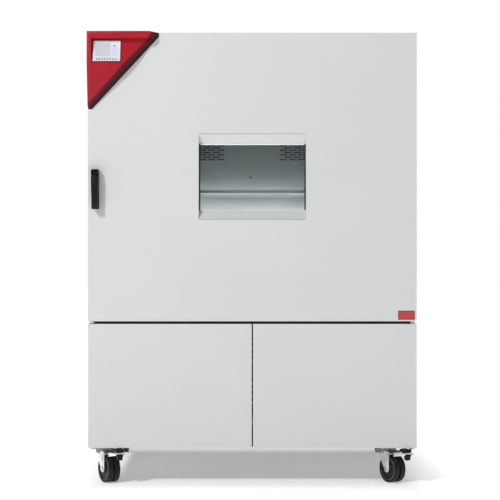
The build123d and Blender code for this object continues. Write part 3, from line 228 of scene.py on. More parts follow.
def powder_coat(name, light, dark, roughness):
    """A baked powder coat: a fine orange peel, and a faint unevenness of tone and gloss."""
    coat = Finish(name, specular_ior_level=0.4)
    coat.feed("Base Color", coat.blend(coat.spread(coat.noise(2.3, 4), 0, 1), light, dark))
    coat.feed("Roughness", coat.spread(coat.noise(14), roughness - 0.04, roughness + 0.05))
    coat.relief(coat.noise(420, 2), 0.00006)
    return coat


light_grey = (0.575, 0.590, 0.585), (0.560, 0.575, 0.570)
cabinet_coat = powder_coat("light_grey_powder_coat", *light_grey, 0.46)
cabinet_coat.on("left_side_panel", "right_side_panel", "top_panel", "rear_panel", "rear_grille")
cabinet_coat.on("front_collar", "door_outer_panel", "left_lower_door", "right_lower_door")

# Frame: welded square steel tube that carries the cabinet and the machines, with a dark-grey
# powder coat.
dark_grey = (0.085, 0.088, 0.090), (0.070, 0.073, 0.075)
frame_coat = powder_coat("dark_grey_powder_coat", *dark_grey, 0.5)
frame_coat.on("base_frame")

# Test space: the liner, its racks and shelf, the air guide, the ports and the door's inner sheet
# are brushed stainless steel, folded and welded.


def brushed_steel(name, colour, grain, roughness, metallic=1.0):
    """Metal with a brushed grain, whose stretch is small along the brushing and large across."""
    steel = Finish(name, metallic=metallic)
    streaks = steel.noise(1.0, 4, grain)
    shade = tuple(0.90 * value for value in colour)
    steel.feed("Base Color", steel.blend(steel.spread(streaks, 0, 1), colour, shade))
    steel.feed("Roughness", steel.spread(steel.noise(9), roughness - 0.05, roughness + 0.07))
    steel.relief(streaks, 0.00003)
    return steel


long_grain = (6, 900, 900)
liner_steel = brushed_steel("brushed_stainless_liner", (0.570, 0.625, 0.632), long_grain, 0.36)
liner_steel.on("chamber_liner", "air_guide_panel", "rack_supports", "shelf", "access_ports")
liner_steel.on("door_inner_panel", "humidifier", "heating_element")

# Plated hardware: the floor tray, the electronics box, the hinges and the latch are pressed
# steel with a zinc plate, screwed to the frame and the doors.
even_grain = (60, 60, 60)
zinc = brushed_steel("zinc_plate", (0.62, 0.63, 0.64), even_grain, 0.36)
zinc.on("floor_tray", "electronics_box", "hinge_brackets", "latch_keeper", "door_pivots")
zinc.on("door_latch")

# Test space light: the studio's light comes in through the window and lies on the floor and the
# lower rear wall. Soft lights under the shelf, near the floor and above the shelf stand for it.
soft_light("test_space_floor", (0, -0.30, 0.90), (0, 0.15, 1.25), (1.0, 0.2), 1.2)
soft_light("test_space_low", (0, -0.08, 1.180), (0, 0.19, 1.250), (1.0, 0.16), 1.62)
soft_light("test_space_high", (0, -0.16, 1.348), (0, 0.19, 1.40), (1.0, 0.03), 0.47)

# Window: two float-glass panes, clamped by an anodised aluminium frame that is screwed to the
# door's inner sheet.
green_tint = (0.06, 0.08, 0.078, 1)
glass = Finish("float_glass", base_color=green_tint, specular_ior_level=0.5, alpha=0.11)
glass.feed("Roughness", glass.spread(glass.noise(5, 2), 0.02, 0.05))
glass.on("outer_pane", "inner_pane")
anodised = brushed_steel("anodised_aluminium", (0.70, 0.71, 0.70), long_grain, 0.42)
anodised.on("window_frame")

# Window strips: black rubber down each side of the outer pane, pressed on from the front and
# rounded at its edges.


def moulded(name, specular, tone, colours, gloss, roughness, grain, height):
    """A plain surface: two close colours, an uneven gloss and a fine relief, each by a noise."""
    made = Finish(name, specular_ior_level=specular)
    made.feed("Base Color", made.blend(made.noise(tone), *colours))
    made.feed("Roughness", made.spread(made.noise(gloss), *roughness))
    made.relief(made.noise(grain, 2), height)
    return made


def block(name, x, y, z):
    """A box between limits, the only thing selected."""
    bpy.ops.object.select_all(action="DESELECT")
    middle = [(low + high) / 2 for low, high in (x, y, z)]
    span = [abs(high - low) for low, high in (x, y, z)]
    bpy.ops.mesh.primitive_cube_add(size=1, location=middle, scale=span)
    bpy.ops.object.transform_apply(location=True, rotation=True, scale=True)
    piece = bpy.context.active_object
    piece.name = name
    return piece


def alone(piece):
    """Makes a piece the only thing selected."""
    bpy.ops.object.select_all(action="DESELECT")
    piece.select_set(True)
    bpy.context.view_layer.objects.active = piece


def soften(piece, width, segments=2, angle=30):
    """Rounds a piece's sharp edges and smooths its faces."""
    alone(piece)
    edges = piece.modifiers.new("edges", "BEVEL")
    edges.width = width
    edges.segments = segments
    edges.limit_method = "ANGLE"
    edges.angle_limit = math.radians(angle)
    bpy.ops.object.modifier_apply(modifier="edges")
    bpy.ops.object.shade_smooth_by_angle(angle=math.radians(35))
    return piece


def fit(piece, finish, body, slot, *nodes):
    """Gives a piece its finish and its body and hides the CAD nodes that it stands for; its slot is
    not used.
    """
    piece.data.materials.clear()
    piece.data.materials.append(finish.material)
    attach(piece, body)
    if nodes:
        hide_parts(*nodes)


# The window strips' black rubber; the same black makes the housing's painted shadow strip.
rubber_and_shadow_black = moulded(
    "black_rubber_and_shadow_strip", specular=0.3, tone=60, colours=((0.016, 0.017, 0.016), (0.030, 0.031, 0.030)),
    gloss=220, roughness=(0.55, 0.75), grain=900, height=0.00004,
)
pane_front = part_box("outer_pane")[0][1]
pane_edge_x = 0.238
pane_z = (1.240, 1.538)
strip_half_width = 0.003
strip_front = 0.0035
clear = 0.0003
for side, name in ((-1, "left"), (1, "right")):
    strip_x = (side * (pane_edge_x + strip_half_width), side * (pane_edge_x - strip_half_width))
    strip_y = (pane_front - strip_front, pane_front - clear)
    strip = block("window_strip_" + name, strip_x, strip_y, pane_z)
    fit(soften(strip, 0.0012), rubber_and_shadow_black, "main_door", "silicone")

# Window seams: a thin grey line where the door's sheet turns into the window's recess, above and
# below the pane, pressed hollow; its grey is a painted shade of the joint.


def leave():
    """Leaves edit mode."""
    bpy.ops.object.mode_set(mode="OBJECT")


def choose(piece, test):
    """Goes into edit mode with the faces selected that pass a test on their centre and normal."""
    alone(piece)
    bpy.ops.object.mode_set(mode="EDIT")
    bpy.ops.mesh.select_mode(type="FACE")
    bpy.ops.mesh.select_all(action="DESELECT")
    leave()
    for face in piece.data.polygons:
        face.select = bool(test(face.center, face.normal))
    bpy.ops.object.mode_set(mode="EDIT")


def front(centre, normal):
    """Faces that look out of the cabinet's front."""
    return normal.y < -0.9


def pressed(piece, test, *steps):
    """Insets the faces that pass a test, once for each step's thickness and depth."""
    choose(piece, test)
    for thickness, depth in steps:
        bpy.ops.mesh.inset(thickness=thickness, depth=depth)
    leave()
    return piece


# Painted shade: the grey of the seams stands for the shade in the joints.
seam_shade_grey = moulded(
    "painted_seam_shade", specular=0.2, tone=40, colours=((0.20, 0.20, 0.20), (0.25, 0.25, 0.25)),
    gloss=150, roughness=(0.6, 0.75), grain=500, height=0.00004,
)
seam_half_length = 0.2395
seam_half_width = 0.0009
seam_y = (door_face_y - 0.0003, door_face_y + 0.0004)
for height, name in ((1.1965, "low"), (1.5825, "high")):
    seam_z = (height - seam_half_width, height + seam_half_width)
    seam = block("window_seam_" + name, (-seam_half_length, seam_half_length), seam_y, seam_z)
    fit(pressed(seam, front, (0.0004, -0.0002)), seam_shade_grey, "main_door", "silicone")

# Window bead: a white bead along the pane's upper edge, clipped over the glass, with a raised rib
# along its face; its white is a painted highlight where light catches the recess's upper slope.
# Painted highlight: the bead's white.
bead_painted_highlight = moulded(
    "painted_highlight_bead", specular=0.4, tone=40, colours=((0.80, 0.80, 0.80), (0.86, 0.86, 0.86)),
    gloss=150, roughness=(0.40, 0.55), grain=500, height=0.00004,
)
bead_half_length = 0.2345
bead_y = (pane_front - 0.0050, pane_front - clear)
bead_z = (1.5335, 1.5390)
bead = block("window_bead_top", (-bead_half_length, bead_half_length), bead_y, bead_z)
pressed(bead, front, (0.0012, 0.0006))
fit(soften(bead, 0.0008), bead_painted_highlight, "main_door", "silicone")

# Air ducts: black screens stand behind the slots of the air guide, a painted shade of the dark
# spaces behind them, so the slots look dark. Under each group of slots a folded lip of stainless
# steel is welded on, painted near-white as a painted highlight.
# Painted shade: this black on the screens behind the slots; the probe's sheath takes the same black.
slot_shade_and_probe_black = moulded(
    "slot_shade_and_probe_black", specular=0.1, tone=30, colours=((0.004, 0.004, 0.004), (0.008, 0.008, 0.008)),
    gloss=60, roughness=(0.7, 0.85), grain=400, height=0.00005,
)
# Painted highlight: the lips' near-white along the slots' lower edge.
painted_highlight_edge = brushed_steel("painted_highlight_edge", (0.92, 0.95, 0.96), long_grain, 0.5, metallic=0.2)
guide_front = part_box("air_guide_panel")[0][1]
slot_shade_x, lip_x = (0.138, 0.575), (0.140, 0.560)
slot_shade_y = (guide_front + 0.0022, guide_front + 0.0042)
slot_shade_z = (1.502, 1.622)
lip_y = (guide_front - 0.0045, guide_front - clear)
lip_z = (1.5015, 1.5050)
for side, name in ((-1, "left"), (1, "right")):
    slot_shade = block("slot_shade_screen_" + name, (side * slot_shade_x[0], side * slot_shade_x[1]), slot_shade_y, slot_shade_z)
    pressed(slot_shade, front, (0.004, -0.0004))
    fit(soften(slot_shade, 0.0003, 1), slot_shade_and_probe_black, "cabinet", "black_steel")
    lip = block("vent_lip_" + name, (side * lip_x[0], side * lip_x[1]), lip_y, lip_z)
    choose(lip, front)
    bpy.ops.transform.resize(value=(0.996, 1, 0.6), center_override=lip.bound_box[0])
    leave()
    fit(soften(lip, 0.0006), painted_highlight_edge, "cabinet", "stainless")

# Temperature probe: a black sheathed sensor with a hollow tip comes through the middle of the
# air guide, held by a stainless nut.


def disc(name, place, axis, radius, depth, sides=48):
    """A cylinder with its middle at a place, the only thing selected."""
    bpy.ops.object.select_all(action="DESELECT")
    turn = Vector(axis).to_track_quat("Z", "Y").to_euler()
    bpy.ops.mesh.primitive_cylinder_add(
        vertices=sides, radius=radius, depth=depth, location=place, rotation=turn
    )
    bpy.ops.object.transform_apply(location=True, rotation=True, scale=True)
    piece = bpy.context.active_object
    piece.name = name
    return piece


forwards = (0, -1, 0)
probe_x, probe_z = -0.008, 1.424
tip_middle = (probe_x, guide_front - 0.0075, probe_z)
nut_middle = (probe_x, guide_front - 0.0022, probe_z)
probe_tip = disc("temperature_probe", tip_middle, forwards, 0.0050, 0.014, 32)
pressed(probe_tip, front, (0.0014, 0), (0.0004, -0.004))
fit(soften(probe_tip, 0.0005), slot_shade_and_probe_black, "cabinet", "black_steel")
probe_nut = disc("probe_nut", nut_middle, forwards, 0.0100, 0.0038, 6)
pressed(probe_nut, front, (0.0014, 0.0006))
fit(soften(probe_nut, 0.0004), liner_steel, "cabinet", "stainless")

# Seals and insulation: the door's gasket and the port's plug are soft pale silicone, and the
# walls are filled with closed-cell cream foam.
silicone = moulded(
    "pale_silicone", specular=0.35, tone=30, colours=((0.60, 0.60, 0.57), (0.66, 0.66, 0.63)),
    gloss=120, roughness=(0.5, 0.65), grain=700, height=0.00005,
)
silicone.on("door_gasket", "port_plug")
foam = Finish("closed_cell_foam", specular_ior_level=0.2)
foam.feed("Base Color", foam.blend(foam.noise(160, 4), (0.66, 0.58, 0.36), (0.76, 0.68, 0.46)))
foam.feed("Roughness", foam.spread(foam.noise(90), 0.85, 0.95))
foam.relief(foam.noise(600, 4), 0.0004)
foam.on("chamber_insulation", "door_insulation")

# Control housing: a red semi-gloss moulding with soft edges, clipped to the door. Its red is painted
# darker towards its foot as painted shade, and the bevel that runs along its slanted edge is duller
# and painted darker, down to near-black at the door, as painted shade.


def dressed(node, name, edge, segments=2):
    """A copy of a CAD solid with its facets merged and its edges rounded."""
    piece = bpy.data.objects.new(name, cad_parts[node].data.copy())
    bpy.context.collection.objects.link(piece)
    alone(piece)
    bpy.ops.object.mode_set(mode="EDIT")
    bpy.ops.mesh.select_all(action="SELECT")
    bpy.ops.mesh.remove_doubles(threshold=0.00001)
    bpy.ops.mesh.dissolve_limited(angle_limit=math.radians(0.5))
    leave()
    return soften(piece, edge, segments)


slant_end_x, slant_end_z = -0.409, 2.037
slant_across, slant_up = 0.734, 0.679
bevel_top = 0.0248
bevel_dulling = 0.40
red = Finish("red_moulding", specular_ior_level=0.28)
mottled = red.blend(red.spread(red.noise(6), 0, 1), (0.375, 0.0060, 0.0190), (0.350, 0.0052, 0.0165))
# Painted shade: the red is darker towards the housing's foot.
face_mottle_and_painted_shade = red.blend(red.ramp(red.along(2), 1.70, 1.93), (0.250, 0.0035, 0.0110), mottled)
from_slant = (red.along(2) - slant_end_z) * slant_up - (red.along(0) - slant_end_x) * slant_across
# Painted shade: the bevel goes from dark red at its crest to near-black at the door.
bevel_shade_ramp = red.ramp(from_slant, 0.001, 0.024)
bevel_painted_shade = red.blend(bevel_shade_ramp, (0.022, 0.004, 0.004), (0.150, 0.003, 0.008))
red.feed("Base Color", red.blend(from_slant > bevel_top, bevel_painted_shade, face_mottle_and_painted_shade))
dull = (from_slant < bevel_top) * bevel_dulling
red.feed("Roughness", red.spread(red.noise(25), 0.36, 0.46) + dull)
red.relief(red.noise(1400, 2), 0.00003)
housing = dressed("instrument_housing", "control_housing", 0.0016, 3)
fit(housing, red, "main_door", "red_plastic", "instrument_housing")

# Display surround: a dark-red frame on the housing's sunk plane round the display, a painted shade
# of the gap where the display sits sunk below the housing's rims.
screen_low, screen_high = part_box("display_screen")
screen_middle = [(low + high) / 2 for low, high in zip(screen_low, screen_high)]
screen_lean = math.atan2(0.032, 0.113)


def sloped(piece):
    """Turns a piece made upright at the origin to lie on the housing's sunk plane."""
    turn = Matrix.Translation(screen_middle) @ Matrix.Rotation(-screen_lean, 4, "X")
    piece.data.transform(turn)
    piece.data.update()
    return piece


# Painted shade: the surround's dark red stands for the shade round the sunk display; the lamp's lens
# takes the same black.
surround_shade_and_lamp_black = Finish("display_shade_and_lamp_lens", specular_ior_level=0.3)
shade_and_lens_tones = (0.060, 0.004, 0.007), (0.045, 0.003, 0.006)
surround_shade_and_lamp_black.feed("Base Color", surround_shade_and_lamp_black.blend(surround_shade_and_lamp_black.noise(80), *shade_and_lens_tones))
surround_shade_and_lamp_black.feed("Roughness", surround_shade_and_lamp_black.spread(surround_shade_and_lamp_black.noise(200), 0.5, 0.6))
surround_x, surround_y, surround_z = (-0.0655, 0.0655), (0.0002, 0.0012), (-0.0530, 0.0545)
surround = block("display_surround", surround_x, surround_y, surround_z)
fit(soften(sloped(surround), 0.0004), surround_shade_and_lamp_black, "main_door", "black_plastic")

# Display: a colour screen behind a clear cover, set in the surround. Its face shows a plain
# chart with a grid, a panel with a dot, a row of marks and a row of icons.
screen_half_width, screen_half_height = 0.061, 0.049
screen_rise = 0.0471
screen = Finish("display_face", specular_ior_level=0.5, emission_strength=0.06)
across = (screen.along(0) - screen_middle[0]) * (1 / screen_half_width)
up = (screen.along(2) - screen_middle[2]) * (1 / screen_rise)


def within(value, low, high):
    """1 between two limits, 0 outside them."""
    return (value > low) * (value < high)


chart = within(across, -0.86, 0.28) * within(up, -0.52, 0.80)
panel = within(across, 0.34, 0.86) * within(up, -0.52, 0.62)
lines_across = within((across * 7.0) % 1.0, 0.0, 0.10)
lines_up = within((up * 5.5) % 1.0, 0.0, 0.10)
grid = chart * (1 - (1 - lines_across) * (1 - lines_up))
icon = within((across * 5.2) % 1.0, 0.12, 0.66)
icon_row = within(up, -0.90, -0.72) * icon * within(across, -0.78, 0.82)
mark = within((across * 7.0) % 1.0, 0.10, 0.38)
mark_row = within(up, -0.66, -0.58) * mark * within(across, -0.80, 0.40)
dot = within(across, 0.52, 0.62) * within(up, 0.42, 0.54)
tint = screen.blend(chart, (0.66, 0.64, 0.70), (0.52, 0.56, 0.59))
tint = screen.blend(panel, tint, (0.56, 0.56, 0.74))
tint = screen.blend(grid, tint, (0.40, 0.44, 0.49))
tint = screen.blend(icon_row * 0.8, tint, (0.10, 0.11, 0.13))
tint = screen.blend(mark_row * 0.5, tint, (0.22, 0.26, 0.34))
tint = screen.blend(dot, tint, (0.06, 0.07, 0.10))
screen.feed("Base Color", tint)
screen.feed("Emission Color", tint)
screen.feed("Roughness", screen.spread(screen.noise(40), 0.16, 0.24))
screen_x = (-screen_half_width, screen_half_width)
screen_y = (-0.0012, 0.0008)
screen_z = (-screen_half_height, screen_half_height)
display = block("display_face", screen_x, screen_y, screen_z)
pressed(display, front, (0.0028, 0), (0.0006, -0.0005))
fit(soften(sloped(display), 0.0003), screen, "main_door", "screen", "display_screen")

# Housing shadow strip: a black strip between the housing's slanted edge and the door, narrower at
# its front, a painted shadow of the housing on the door.
# Painted shadow: this black strip stands for the housing's shadow on the door.
shadow_strip_middle = (-0.5735, 0, 1.8575)
shadow_strip_half_width, shadow_strip_half_length = 0.0040, 0.2240
shadow_strip_x = (-shadow_strip_half_width, shadow_strip_half_width)
shadow_strip_z = (-shadow_strip_half_length, shadow_strip_half_length)
shadow_strip_y = (door_face_y - 0.0028, door_face_y - 0.0002)
shadow_strip = block("housing_shadow_strip", shadow_strip_x, shadow_strip_y, shadow_strip_z)
choose(shadow_strip, front)
bpy.ops.transform.resize(value=(0.7, 1, 0.998))
leave()
along_slant = Matrix.Rotation(math.atan2(slant_up, slant_across), 4, "Y")
shadow_strip.data.transform(Matrix.Translation(shadow_strip_middle) @ along_slant)
fit(soften(shadow_strip, 0.0008), rubber_and_shadow_black, "main_door", "silicone")

# Housing lamp: a small round pilot lamp with a dark lens, pushed into the housing to the left
# of the display.
lamp_middle, lamp_axis = (-0.7139, -0.5735, 1.883), (0, -1, 0.16)
lamp = disc("housing_lamp", lamp_middle, lamp_axis, 0.0034, 0.006, 24)
fit(soften(lamp, 0.001), surround_shade_and_lamp_black, "main_door", "black_plastic")

# Door handle: a lever on a pin in a block that is screwed to the door, both black mouldings
# with rounded edges.
black = moulded(
    "black_moulding", specular=0.16, tone=40,
    colours=((0.0050, 0.0054, 0.0052), (0.0090, 0.0095, 0.0090)),
    gloss=90, roughness=(0.34, 0.48), grain=1100, height=0.00004,
)
handle_block = dressed("handle_housing", "handle_block", 0.0018, 3)
fit(handle_block, black, "main_door", "black_plastic", "handle_housing")
handle_lever = dressed("door_handle", "handle_lever", 0.0022, 3)
fit(handle_lever, black, "handle_lever", "black_plastic", "door_handle")

# Black fittings: the main switch, the inlet's gland, the fan motors, the condenser fan and its
# shroud are mouldings or castings of the same black.
black.on("power_inlet", "main_switch", "fan_shroud", "fan_motors", "condenser_fan")

# Red plate at the door's lower right corner: a plain glossy label of vinyl film with a dark
# border, stuck to the door.
plate_x, plate_z = (0.656, 0.731), (0.745, 0.786)
border = 0.0032
vinyl = Finish("red_vinyl", specular_ior_level=0.5)
film = vinyl.blend(vinyl.noise(12), (0.40, 0.034, 0.028), (0.44, 0.040, 0.032))
inner_x = within(vinyl.along(0), plate_x[0] + border, plate_x[1] - border)
inner_z = within(vinyl.along(2), plate_z[0] + border, plate_z[1] - border)
vinyl.feed("Base Color", vinyl.blend(inner_x * inner_z, (0.13, 0.012, 0.016), film))
vinyl.feed("Roughness", vinyl.spread(vinyl.noise(60), 0.30, 0.42))
plate_y = (door_face_y - 0.0006, door_face_y - 0.0001)
plate = block("red_plate", plate_x, plate_y, plate_z)
pressed(plate, front, (0.0012, 0.00005))
fit(soften(plate, 0.0001), vinyl, "main_door", "red_plastic")

# Coils, fans and pipes: aluminium fins and blades, soldered copper tube and plain brass hose
# tails, as they come from the mill.
aluminium = brushed_steel("mill_aluminium", (0.66, 0.67, 0.68), (40, 40, 40), 0.38)
aluminium.on("evaporator", "condenser", "circulation_fan_left", "circulation_fan_right")
copper = brushed_steel("copper_tube", (0.62, 0.30, 0.19), (50, 50, 50), 0.30)
copper.on("refrigerant_pipes")
brass = brushed_steel("plain_brass", (0.62, 0.47, 0.22), even_grain, 0.32)
brass.on("water_spigots")

# Compressor and tank: the compressor's drawn steel shell has a black enamel, and the water tank
# is blown from milky polyethylene.
enamel = moulded(
    "black_enamel", specular=0.5, tone=30, colours=((0.012, 0.012, 0.012), (0.020, 0.020, 0.020)),
    gloss=50, roughness=(0.22, 0.34), grain=160, height=0.0002,
)
enamel.on("compressor")
tank_plastic = moulded(
    "natural_polyethylene", specular=0.4, tone=14, colours=((0.72, 0.74, 0.72), (0.78, 0.79, 0.77)),
    gloss=70, roughness=(0.40, 0.55), grain=300, height=0.0002,
)
tank_plastic.on("water_tank")

# Fan guard: four rings of zinc-plated wire, welded to four spokes whose legs are screwed to the
# condenser's shroud.


def joined(name, pieces):
    """Several pieces made one."""
    bpy.ops.object.select_all(action="DESELECT")
    for piece in pieces:
        piece.select_set(True)
    bpy.context.view_layer.objects.active = pieces[0]
    bpy.ops.object.join()
    pieces[0].name = name
    return pieces[0]


guard_y, guard_z = 0.3650, 0.42875
ring_wire, spoke_wire = 0.0016, 0.0018
spoke_start, spoke_end = 0.058, 0.166
spoke_y = guard_y + 0.0030
leg_length = 0.0346
guard = []
for radius in (0.058, 0.092, 0.126, 0.160):
    bpy.ops.object.select_all(action="DESELECT")
    bpy.ops.mesh.primitive_torus_add(
        location=(0, guard_y, guard_z), rotation=(math.pi / 2, 0, 0),
        major_radius=radius, minor_radius=ring_wire, major_segments=72, minor_segments=8,
    )
    bpy.ops.object.transform_apply(location=True, rotation=True, scale=True)
    guard.append(bpy.context.active_object)
for step in range(4):
    turn = math.radians(45 + 90 * step)
    outward = Vector((math.cos(turn), 0, math.sin(turn)))
    hub = Vector((0, spoke_y, guard_z))
    spoke_middle = hub + (spoke_start + spoke_end) / 2 * outward
    spoke = disc("spoke", spoke_middle, outward, spoke_wire, spoke_end - spoke_start, 12)
    leg_middle = hub + spoke_end * outward + Vector((0, 0.0172, 0))
    leg = disc("leg", leg_middle, (0, 1, 0), spoke_wire, leg_length, 12)
    guard += [soften(spoke, 0.0005), soften(leg, 0.0005)]
fit(joined("fan_guard", guard), zinc, "cabinet", "zinc_steel")

# Terminal cover: a black moulding over the compressor's terminals, clipped on its side, with a
# raised and hollowed face.
terminals_x, terminals_y, terminals_z = (-0.158, -0.082), (-0.016, 0.020), (0.325, 0.412)
terminals = block("terminal_cover", terminals_x, terminals_y, terminals_z)
pressed(terminals, front, (0.010, 0.006), (0.004, -0.0015))
fit(soften(terminals, 0.004, 3), black, "cabinet", "black_plastic")

# Electronics cover: a zinc-plated sheet with a raised field, held to the box by a pan-head screw
# in each corner.
box_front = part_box("electronics_box")[0][1]
sheet_x, sheet_y, sheet_z = (0.412, 0.658), (box_front - 0.0030, box_front - clear), (0.232, 0.520)
head_inset = 0.006
cover_sheet = block("electronics_cover", sheet_x, sheet_y, sheet_z)
pressed(cover_sheet, front, (0.012, 0), (0.003, 0.0018))
cover_parts = [soften(cover_sheet, 0.0008)]
for head_x in (sheet_x[0] + head_inset, sheet_x[1] - head_inset):
    for head_z in (sheet_z[0] + head_inset, sheet_z[1] - head_inset):
        head = disc("head", (head_x, box_front - 0.0038, head_z), forwards, 0.0042, 0.0018, 20)
        pressed(head, front, (0.0014, 0.0005))
        cover_parts.append(soften(head, 0.0003, 1))
fit(joined("electronics_cover", cover_parts), zinc, "cabinet", "zinc_steel")

# Castor wheels: each castor has two wheels on one spindle, with a black rubber tyre on a dark
# nylon body and a pale line round its rim, a painted highlight on the body's ridge. The front
# castors stand turned by 30 degrees.
tyre = moulded(
    "tyre_rubber", specular=0.24, tone=45,
    colours=((0.0060, 0.0065, 0.0055), (0.0120, 0.0125, 0.0105)),
    gloss=120, roughness=(0.42, 0.6), grain=800, height=0.00006,
)
nylon = Finish("dark_nylon", specular_ior_level=0.18)
nylon.feed("Base Color", nylon.blend(nylon.noise(40), (0.009, 0.010, 0.008), (0.016, 0.017, 0.014)))
nylon.feed("Roughness", nylon.spread(nylon.noise(90), 0.35, 0.5))
# Painted highlight: the pale line on the wheel body's ridge.
rim_highlight = moulded(
    "painted_rim_highlight", specular=0.3, tone=60, colours=((0.13, 0.135, 0.11), (0.19, 0.195, 0.16)),
    gloss=120, roughness=(0.35, 0.5), grain=700, height=0.00004,
)
turn_yaw = math.radians(30)
front_axle = Vector((math.cos(turn_yaw), math.sin(turn_yaw), 0))
rear_axle = Vector((-1, 0, 0))
castors = {
    "front_left": ((-0.676, -0.400), front_axle),
    "front_right": ((0.618, -0.400), front_axle),
    "rear_left": ((-0.676, 0.420), rear_axle),
    "rear_right": ((0.676, 0.420), rear_axle),
}
wheel_radius, wheel_width, wheel_gap, trail = 0.0625, 0.024, 0.009, 0.044
wheel_offset = (wheel_width + wheel_gap) / 2
tyre_inside, highlight_inside = 0.0515, 0.0490
tyre_part, body_part, highlight_part = 0, 1, 2
axle_line = (1, 0, 0)


def castor_place(middle, axle):
    """Brings a piece laid out with X along the axle and -Y towards the wheels to its castor."""
    upwards = Vector((0, 0, 1))
    turn = Matrix((axle, upwards.cross(axle), upwards)).transposed().to_4x4()
    return Matrix.Translation((*middle, 0)) @ turn


def wheel(offset):
    """One wheel: a crowned tyre, a ridge round the body, a dished web and a hub."""
    ring = disc("wheel", (offset, -trail, wheel_radius), axle_line, wheel_radius, wheel_width, 72)
    edge, ridge = ((0.0095, 0), (0.0012, -0.0022)), ((0.0030, 0.0016), (0.0020, -0.0045))
    web, hub = (0.0220, -0.0008), (0.0050, 0.0052)
    pressed(ring, lambda centre, normal: abs(normal.x) > 0.9, *edge, *ridge, web, hub)
    return soften(ring, 0.0014, 3, 25)


for name, (middle, axle) in castors.items():
    wheels = [wheel(-wheel_offset), wheel(wheel_offset)]
    spindle = disc("spindle", (0, -trail, wheel_radius), axle_line, 0.0085, wheel_gap + 0.004, 32)
    pair = joined("castor_wheels_" + name + "_dressed", wheels + [spindle])
    parts_of_wheel = []
    for face in pair.data.polygons:
        from_axle = Vector((0, face.center.y + trail, face.center.z - wheel_radius)).length
        if from_axle > tyre_inside:
            parts_of_wheel.append(tyre_part)
        elif highlight_inside < from_axle < tyre_inside and abs(face.normal.x) > 0.5:
            parts_of_wheel.append(highlight_part)
        else:
            parts_of_wheel.append(body_part)
    pair.data.transform(castor_place(middle, axle))
    fit(pair, tyre, "wheels_" + name, "wheel_rubber", "castor_wheels_" + name)
    pair.data.materials.append(nylon.material)
    pair.data.materials.append(rim_highlight.material)
    for face, part in zip(pair.data.polygons, parts_of_wheel):
        face.material_index = part

# Castor plates and forks: the plates are screwed under the frame. Each fork is pressed from
# zinc-plated steel, painted brighter than the other zinc as a painted highlight, and turns on two
# rows of balls in a dull pressed race.
# Painted highlight: the forks' and pedals' zinc is brighter than the other zinc.
zinc_with_painted_highlight = brushed_steel("zinc_with_painted_highlight", (0.83, 0.83, 0.85), even_grain, 0.34, metallic=0.5)
dull_zinc = brushed_steel("dull_zinc", (0.34, 0.35, 0.33), even_grain, 0.45)
dull_zinc.on("castor_plates")
race_radius, race_height, race_middle = 0.0435, 0.0175, 0.1400
for name, (middle, axle) in castors.items():
    fork = dressed("castor_fork_" + name, "castor_fork_" + name + "_dressed", 0.0012)
    fit(fork, zinc_with_painted_highlight, "castor_" + name, "zinc_steel", "castor_fork_" + name)
    shell = disc("castor_race_" + name, (0, 0, race_middle), (0, 0, 1), race_radius, race_height, 64)
    grooves = (0.0028, 0), (0.0006, -0.0022), (0.0030, 0), (0.0004, 0.0020)
    pressed(shell, lambda centre, normal: abs(normal.z) < 0.1, *grooves)
    shell.data.transform(castor_place(middle, axle))
    fit(soften(shell, 0.0006), dull_zinc, "castor_" + name, "zinc_steel")

# Axle ends: each castor's axle is a steel bolt, with a round head outside one leg of the fork and
# a hexagon nut outside the other.
leg_outside = 0.0375
for name, (middle, axle) in castors.items():
    bolt_name = "axle_nuts_" + name
    nut = disc(bolt_name, (leg_outside, -trail, wheel_radius), axle_line, 0.0095, 0.0065, 6)
    head = disc(bolt_name, (-leg_outside, -trail, wheel_radius), axle_line, 0.0105, 0.0045, 40)
    bolt_ends = joined(bolt_name, [soften(nut, 0.0010), soften(head, 0.0018, 3)])
    bolt_ends.data.transform(castor_place(middle, axle))
    fit(bolt_ends, zinc, "castor_" + name, "zinc_steel")

# Brake pedals: on each front castor a pressed steel arm swings on a pin in the fork. It widens
# and rises towards its end, between two stiffening ribs.
pivot_y, pivot_z = -0.052, 0.131
arm_x, arm_y, arm_z = (-0.016, 0.016), (-0.092, -0.050), (0.1290, 0.1330)
arm_slope, arm_end = (0, -0.036, 0.0085), (0, -0.042, 0.0060)
rib_inside, rib_outside = 0.0212, 0.0242
rib_y, rib_z = (-0.170, -0.086), (0.1215, 0.1420)
front_castors = {name: place for name, place in castors.items() if name.startswith("front")}
for name, (middle, axle) in front_castors.items():
    arm = block("arm", arm_x, arm_y, arm_z)
    choose(arm, front)
    bpy.ops.mesh.extrude_region_move(TRANSFORM_OT_translate={"value": arm_slope})
    bpy.ops.transform.resize(value=(1.5, 1, 1))
    bpy.ops.mesh.extrude_region_move(TRANSFORM_OT_translate={"value": arm_end})
    leave()
    ribs = []
    for side in (-1, 1):
        rib = block("rib", (side * rib_inside, side * rib_outside), rib_y, rib_z)
        choose(rib, front)
        bpy.ops.transform.translate(value=(0, 0, 0.0100))
        bpy.ops.transform.resize(value=(1, 1, 0.40))
        leave()
        ribs.append(soften(rib, 0.0008))
    pin = disc("pin", (0, pivot_y, pivot_z), axle_line, 0.0055, 0.050, 32)
    pedal_parts = [soften(arm, 0.0012), soften(pin, 0.001)] + ribs
    pedal = joined("brake_pedal_" + name + "_dressed", pedal_parts)
    pedal.data.transform(castor_place(middle, axle))
    # The pedal's zinc is painted brighter, a painted highlight, as on the forks.
    fit(pedal, zinc_with_painted_highlight, "pedal_" + name, "zinc_steel", "brake_pedal_" + name)

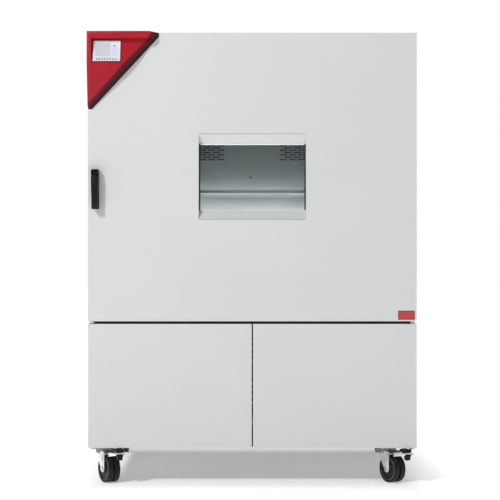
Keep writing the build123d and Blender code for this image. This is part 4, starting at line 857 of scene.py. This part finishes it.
# Brake pads: a black moulded tread below the end of each pedal, tapered downwards, and a black
# cap with a raised face above it, pressed together through the arm.
tread_x, tread_y, tread_z = (-0.014, 0.014), (-0.170, -0.146), (0.1130, 0.1390)
cap_x, cap_y, cap_z = (-0.018, 0.018), (-0.168, -0.120), (0.1478, 0.1622)
for name, (middle, axle) in front_castors.items():
    tread = block("tread", tread_x, tread_y, tread_z)
    choose(tread, lambda centre, normal: normal.z < -0.9)
    bpy.ops.transform.resize(value=(0.8, 0.7, 1))
    leave()
    cap = block("cap", cap_x, cap_y, cap_z)
    pressed(cap, lambda centre, normal: normal.z > 0.9, (0.0050, 0.0008))
    pad = joined("brake_pad_" + name, [soften(tread, 0.004, 3), soften(cap, 0.005, 3)])
    pad.data.transform(castor_place(middle, axle))
    fit(pad, black, "pedal_" + name, "black_plastic")

# Fasteners: pan-head screws with a recess hold the rear sheets to the frame, in columns along
# the sides and in rows along the top and the middle joint. One is made and copied.


def rear(centre, normal):
    """Faces that look out of the cabinet's rear."""
    return normal.y > 0.9


screw_y, screw_radius, screw_height = 0.5471, 0.0058, 0.0020
screw = disc("rear_screws", (0, screw_y, 0), (0, 1, 0), screw_radius, screw_height, 20)
pressed(screw, rear, (0.0012, 0.0006), (0.0016, 0), (0.0002, -0.0008))
soften(screw, 0.0003, 1)
column_x = 0.724
row = [-0.5475 + 0.219 * step for step in range(6)]
rear_places = [(side * column_x, 0.755 + 0.2075 * step) for side in (-1, 1) for step in range(7)]
rear_places += [(x, 2.014) for x in row] + [(x, 0.742) for x in row]
rear_places += [(side * column_x, 0.195 + 0.1725 * step) for side in (-1, 1) for step in range(4)]
rear_places += [(x, 0.712) for x in row]
copies = []
for x, z in rear_places:
    one = screw.copy()
    one.data = screw.data.copy()
    one.data.transform(Matrix.Translation((x, 0, z)))
    bpy.context.collection.objects.link(one)
    copies.append(one)
bpy.data.objects.remove(screw)
fit(joined("rear_screws", copies), dull_zinc, "cabinet", "zinc_steel")

# Rear seams: a thin grey line of painted shade along each joint of the rear sheets with the sides,
# and between the upper sheet and the grille sheet.
rear_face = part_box("rear_panel")[1][1]
side_seam_z = (0.170, 2.031)
seam_limits = (
    ((-0.7372, 0.7372), (0.7270, 0.7290)),
    ((-0.7380, -0.7364), side_seam_z),
    ((0.7364, 0.7380), side_seam_z),
)
rear_seam_y = (rear_face - 0.0004, rear_face + 0.0004)
seams = []
for x, z in seam_limits:
    seam = block("seam", x, rear_seam_y, z)
    seams.append(pressed(seam, rear, (0.0004, -0.0002)))
fit(joined("rear_seams", seams), seam_shade_grey, "cabinet", "silicone")
